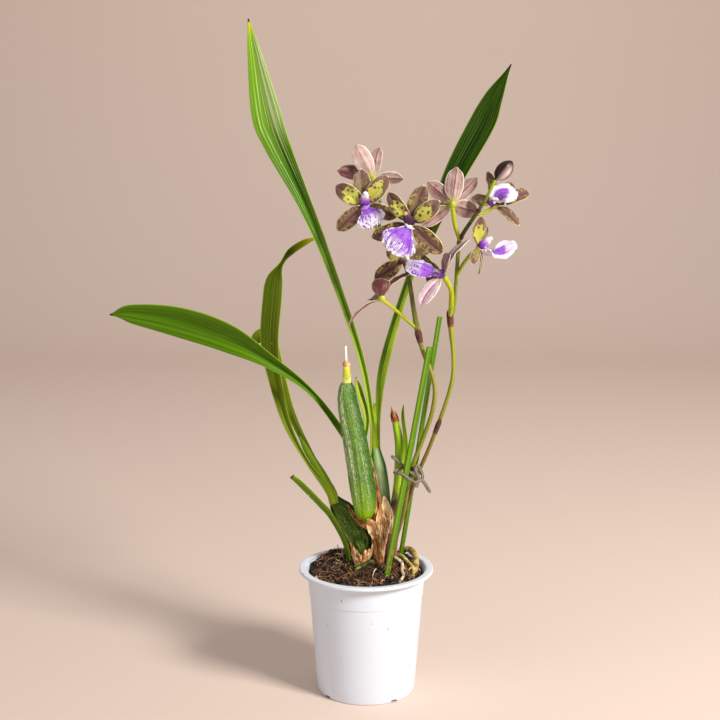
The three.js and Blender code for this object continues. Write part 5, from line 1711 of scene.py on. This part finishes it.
class ORCHID_OT_mix(PieceOperator, bpy.types.Operator):
    """Builds the growing mix: its body, bark chips, coir fibres and pale grains"""

    bl_idname = "orchid.mix"
    bl_label = "Growing Mix"

    def build(self, scene):
        """The body fills the pot, and the loose bits lie on its surface."""
        settings = scene.orchid_potting
        self.dice = random.Random(11)
        dress(self.body(settings), "growing_medium", "growing_medium")
        bark, mix, coir = settings.bark, settings.mix, settings.coir
        loose = (
            self.blocks("bark_chips", settings.chips, [bark, mix, *CHIP_COLOURS], MIX_REACH - 2),
            self.strands("coir_fibres", settings.fibres, [coir, *FIBRE_COLOURS]),
            self.strands("thick_strands", settings.straws, STRAND_COLOURS),
            self.blocks("pale_grains", settings.grains, GRAIN_COLOURS, MIX_REACH - 1),
            self.twigs(),
        )
        for piece in loose:
            dress(piece, "growing_medium")

    def body(self, settings):
        """The filled body, lumpy on top. The rows of its outline without a height follow the surface."""
        clearance, rings = 0.6, 40
        foot = BASE_RADIUS - WALL - clearance
        top = NECK_RADIUS - WALL - STEP_DEPTH - clearance
        at_step = foot + (top - foot) * STEP_HEIGHT / (POT_HEIGHT - NECK_DROP)
        outline = [(0, WALL + 0.3), (foot, WALL + 0.3), (at_step, STEP_HEIGHT)]
        outline += [(top, SOIL_FRONT - SOIL_RISE / 2)]
        outline += [(top * (1 - k / rings), np.nan) for k in range(rings + 1)]
        radii, heights = np.array(outline, float).T

        def place(u, v):
            index = np.rint(v * (len(outline) - 1)).astype(int)
            radius, z = radii[index], heights[index]
            x, y = radius * np.cos(2 * np.pi * u), radius * np.sin(2 * np.pi * u)
            spots = np.column_stack([x, y, np.zeros_like(x)])
            crumb = 1.6 * bumps(spots, 5, 1) + bumps(spots, 2.2, 2)
            high = soil_height(x, y) + crumb * (radius < top)
            return np.column_stack([x, y, np.where(np.isnan(z), high, z)])

        paint = Finish("Growing Mix", 0.9)
        crumbs = paint.cloud(600, 5)
        paint.base = paint.mix(crumbs.step(0.55, 0.75), settings.mix, settings.bark)
        paint.coat(paint.patches(800, 0.08), settings.coir)
        finish = paint.done(crumbs, 1.2)
        return grid("growing_mix", 120, len(outline) - 1, place, [finish], closed=True)

    def spot(self, most):
        """A random place on the surface, at most so far from its centre."""
        radius, angle = most * math.sqrt(self.dice.random()), 2 * math.pi * self.dice.random()
        return radius * math.cos(angle), radius * math.sin(angle)

    def shade(self, code):
        """A colour made lighter or darker at random."""
        factor = 1 + 0.4 * (2 * self.dice.random() - 1)
        base = rgb(code) if isinstance(code, str) else code
        return tuple(min(c * factor, 1) for c in base[:3]) + (1,)

    def blocks(self, name, count, colours, most):
        """Copies of one broken block, each stretched, turned and laid on the surface."""
        sizes, lift, skin = BLOCKS[name]
        bpy.ops.mesh.primitive_ico_sphere_add(subdivisions=1, radius=1)
        template = bpy.context.object
        apply_modifier(template, "SUBSURF", levels=1, render_levels=1, subdivision_type="SIMPLE")
        shape = np.array([v.co for v in template.data.vertices])
        shape *= (1 + 0.3 * bumps(shape, 0.7, 3))[:, None]
        faces = [tuple(p.vertices) for p in template.data.polygons]
        bpy.data.objects.remove(template)
        corners, tones = [], []
        for _ in range(count):
            x, y = self.spot(most)
            stretch = np.array([low + (high - low) * self.dice.random() ** 2 for low, high in sizes])
            lean = Vector((self.dice.gauss(0, 0.35), self.dice.gauss(0, 0.35), 1)).normalized()
            turn = np.array(Vector((0, 0, 1)).rotation_difference(lean).to_matrix())
            angle = 2 * math.pi * self.dice.random()
            c, s = math.cos(angle), math.sin(angle)
            spin = np.array([[c, -s, 0], [s, c, 0], [0, 0, 1]])
            warp = 1 + 0.25 * np.sin(shape[:, [1, 2, 0]] * 3 + 9 * self.dice.random())
            place = np.array([x, y, float(soil_height(x, y)) + stretch[2] * lift])
            corners.append((shape * warp * stretch) @ spin.T @ turn.T + place)
            tones.append(self.shade(self.dice.choice(colours)))
        return scatter(name, corners, faces, tones, own_finish(name.replace("_", " ").title(), *skin))

    def strands(self, name, count, colours):
        """Copies of a tapering strand, each bent and laid over the surface."""
        lengths, radii, curl, hump, sides = STRANDS[name]
        steps = 9
        share = np.linspace(0, 1, steps)
        faces = []
        for i in range(steps - 1):
            for j in range(sides):
                a, b = i * sides + j, i * sides + (j + 1) % sides
                faces.append((a, b, b + sides, a + sides))
        faces += [tuple(range(sides))[::-1], tuple((steps - 1) * sides + j for j in range(sides))]
        corners, tones = [], []
        for _ in range(count):
            x, y = self.spot(MIX_REACH - 1)
            turn = 2 * math.pi * self.dice.random() + self.dice.gauss(0, curl) * share
            length = lengths[0] + (lengths[1] - lengths[0]) * self.dice.random() ** 2
            px = x + np.cumsum(np.cos(turn)) * length / steps
            py = y + np.cumsum(np.sin(turn)) * length / steps
            pull = np.minimum(1, MIX_REACH / np.maximum(np.hypot(px, py), 1e-6))
            px, py = px * pull, py * pull
            high = self.dice.random() ** 2 * hump
            tilt = self.dice.gauss(0, 0.5) * (share - 0.5)
            pz = soil_height(px, py) + 0.6 + 1.2 * self.dice.random() + high * np.sin(np.pi * share) + tilt
            line = np.column_stack([px, py, pz])
            forward = unit(np.gradient(line, axis=0))
            across = unit(np.cross(forward, (0, 0, 1)))
            up = np.cross(across, forward)
            radius = (radii[0] + (radii[1] - radii[0]) * self.dice.random() ** 2) * (1 - 0.6 * share**2)
            rings = []
            for j in range(sides):
                a = 2 * math.pi * j / sides
                rings.append(line + radius[:, None] * (math.cos(a) * across + math.sin(a) * up))
            corners.append(np.stack(rings, axis=1).reshape(-1, 3))
            tones.append(self.shade(self.dice.choice(colours)))
        finish = own_finish(name.replace("_", " ").title(), 0.65, 0.1, 900, 0.45)
        return scatter(name, corners, faces, tones, finish)

    def twigs(self):
        """The dry twigs that stand out of the mix at the left."""
        finish = skin_finish("Twig", "3a2214", "7a5636", "1c100a", 0.7, 300)
        runs = (
            [(-21, 24, 111, 0.8), (-23.5, 25, 117, 0.7), (-25.5, 25, 122, 0.5), (-26, 25.5, 125, 0.3)],
            [(-22, 24, 113, 0.6), (-20, 24, 118, 0.5), (-18.5, 24, 121, 0.3)],
            [(-31, 18, 108, 0.8), (-27, 20, 114.5, 0.8), (-20, 22, 115.5, 0.6), (-14, 22, 114, 0.5)],
        )
        parts = []
        for k, rows in enumerate(runs):
            parts.append(tube(f"twig_{k}", rows, 10, 24, finish, rough=0.25, grain=1.6, seed=k))
        return join("twigs", parts)


class ORCHID_OT_pot(PieceOperator, bpy.types.Operator):
    """Builds the white nursery pot"""

    bl_idname = "orchid.pot"
    bl_label = "Pot"

    def build(self, scene):
        """The wall and rim are turned from one outline, and the drainage notches cut from the foot."""
        neck = POT_HEIGHT - NECK_DROP
        slope = (NECK_RADIUS - BASE_RADIUS - STEP_DEPTH) / neck

        def outer(z):
            return BASE_RADIUS + slope * z + (STEP_DEPTH if z > STEP_HEIGHT + STEP_DEPTH else 0)

        under = POT_HEIGHT - WALL - 0.3
        skirt = POT_HEIGHT - RIM_SKIRT
        outline = [(0, 0), (BASE_RADIUS - FOOT_BEVEL, 0)]
        outline += [
            (BASE_RADIUS - FOOT_BEVEL + FOOT_BEVEL * math.sin(a), FOOT_BEVEL * (1 - math.cos(a)))
            for a in np.radians((30, 60, 85))
        ]
        heights = [12, 30, 50, 70, *(STEP_HEIGHT + rise for rise in (-0.4, 0, 0.5, 1, 1.4)), neck - 3, neck]
        outline += [(outer(z), z) for z in heights]
        outline += [
            (NECK_RADIUS + 0.7, neck + 2), (NECK_RADIUS + 1.8, under - 0.4), (NECK_RADIUS + 2.6, under),
            (RIM_RADIUS - WALL, under), (RIM_RADIUS - WALL, skirt), (RIM_RADIUS - 0.6, skirt - 0.15),
            (RIM_RADIUS, skirt + 0.2),
        ]
        outline += [
            (RIM_RADIUS - RIM_ROUND * (1 - math.cos(a)), POT_HEIGHT - RIM_ROUND * (1 - math.sin(a)))
            for a in np.radians((0, 25, 50, 75, 90))
        ]
        outline += [
            (NECK_RADIUS + 2.4, POT_HEIGHT), (NECK_RADIUS + 1.4, POT_HEIGHT - 0.25),
            (NECK_RADIUS + 0.6, POT_HEIGHT - RIM_ROUND), (NECK_RADIUS - 0.4, neck + 2),
            (outer(neck) - WALL, neck),
        ]
        outline += [(outer(z) - WALL, z) for z in (STEP_HEIGHT + 1, STEP_HEIGHT, 50, WALL)]
        outline += [(0, WALL)]
        radii, heights = np.array(outline, float).T

        def place(u, v):
            index = np.rint(v * (len(outline) - 1)).astype(int)
            angle, radius = 2 * np.pi * u, radii[index]
            return np.column_stack([radius * np.cos(angle), radius * np.sin(angle), heights[index]])

        pot = grid("pot_shell", 144, len(outline) - 1, place, [pot_finish(scene.orchid_potting)], closed=True)
        for degrees in NOTCH_ANGLES:
            self.notch(pot, degrees)
        alone(pot)
        bpy.ops.object.shade_smooth_by_angle(angle=math.radians(35))
        dress(pot, "pot", "pot")

    @staticmethod
    def notch(pot, degrees):
        """Cuts one drainage notch through the foot."""
        angle = math.radians(degrees)
        x, y = BASE_RADIUS * MM * math.sin(angle), -BASE_RADIUS * MM * math.cos(angle)
        box = (NOTCH_WIDTH * MM, 2 * NOTCH_WIDTH * MM, 2 * NOTCH_HEIGHT * MM)
        bpy.ops.mesh.primitive_cube_add(size=1, location=(x, y, 0), rotation=(0, 0, angle), scale=box)
        cutter = bpy.context.object
        apply_modifier(pot, "BOOLEAN", operation="DIFFERENCE", object=cutter, solver="EXACT")
        bpy.data.objects.remove(cutter)


class ORCHID_OT_stage(PieceOperator, bpy.types.Operator):
    """Builds the floor, the backdrop, the lights and the camera"""

    bl_idname = "orchid.stage"
    bl_label = "Stage"

    def build(self, scene):
        """A pale floor that curves up into a backdrop, three soft lights and an even sky."""
        settings = scene.orchid_stage

        def place(u, v):
            x, run = FLOOR_WIDTH * (u - 0.5), FLOOR_LENGTH * v - FLOOR_FRONT
            bend = np.clip((run - BEND_START) / BEND_LENGTH, 0, 1) * np.pi / 2
            y = np.where(run < BEND_START, run, BEND_START + 0.8 * BEND_LENGTH * np.sin(bend))
            z = np.where(run < BEND_START, 0, BEND_RISE * (1 - np.cos(bend)))
            return np.column_stack([x, y, z + np.clip(run - BEND_START - BEND_LENGTH, 0, None)])

        floor = grid("studio_floor", 8, 180, place, [floor_finish(settings)])
        for name, light in LIGHTS.items():
            self.light(f"{name}_light", getattr(settings, name), *light)
        world = bpy.data.worlds.new("Studio Sky")
        world.use_nodes = True
        sky = world.node_tree.nodes["Background"].inputs
        sky["Color"].default_value, sky["Strength"].default_value = SKY_COLOUR, settings.sky
        scene.world = world
        data = bpy.data.cameras.new("camera")
        data.lens, data.sensor_width, data.clip_start, data.clip_end = settings.lens, 36, 0.05, 60
        camera = bpy.data.objects.new("camera", data)
        camera.location, camera.rotation_euler = CAMERA_PLACE, (math.radians(CAMERA_PITCH), 0, 0)
        scene.collection.objects.link(camera)
        scene.camera = camera
        scene.view_settings.view_transform = "Standard"

    @staticmethod
    def light(name, power, place, aim, width, hue):
        """A square soft light that looks at a place."""
        data = bpy.data.lights.new(name, "AREA")
        data.shape, data.size, data.energy, data.color = "SQUARE", width, power, hue
        light = bpy.data.objects.new(name, data)
        light.location = place
        light.rotation_euler = (Vector(aim) - light.location).to_track_quat("-Z", "Y").to_euler()
        bpy.context.scene.collection.objects.link(light)


class ORCHID_PT_panel(bpy.types.Panel):
    """Lists the pieces of the orchid"""

    bl_label = "Zygopetalum"
    bl_idname = "ORCHID_PT_panel"
    bl_space_type = "VIEW_3D"
    bl_region_type = "UI"
    bl_category = "Orchid"

    def draw(self, context):
        """One button for each operator, then the settings."""
        for operator in OPERATORS:
            self.layout.operator(operator.bl_idname)
        for name, group in SETTINGS.items():
            box = self.layout.box()
            box.label(text=group.__doc__)
            for key in group.__annotations__:
                box.prop(getattr(context.scene, name), key)


SETTINGS = {
    "orchid_leaves": LeafSettings,
    "orchid_flowers": FlowerSettings,
    "orchid_potting": PottingSettings,
    "orchid_stage": StageSettings,
}
OPERATORS = (
    ORCHID_OT_leaves, ORCHID_OT_bulbs, ORCHID_OT_shoot, ORCHID_OT_sheaths, ORCHID_OT_roots, ORCHID_OT_spikes,
    ORCHID_OT_blooms, ORCHID_OT_bud, ORCHID_OT_supports, ORCHID_OT_mix, ORCHID_OT_pot, ORCHID_OT_stage,
)
CLASSES = (*SETTINGS.values(), *OPERATORS, ORCHID_PT_panel)


def register():
    """Registers the classes and the scene's settings."""
    for cls in CLASSES:
        bpy.utils.register_class(cls)
    for name, group in SETTINGS.items():
        setattr(bpy.types.Scene, name, bpy.props.PointerProperty(type=group))


def unregister():
    """Takes the settings and the classes away again."""
    for name in SETTINGS:
        delattr(bpy.types.Scene, name)
    for cls in reversed(CLASSES):
        bpy.utils.unregister_class(cls)


def main():
    """Builds everything in order."""
    register()
    for operator in OPERATORS:
        name = operator.bl_idname.split(".")[1]
        getattr(bpy.ops.orchid, name)()


if __name__ == "__main__":
    main()
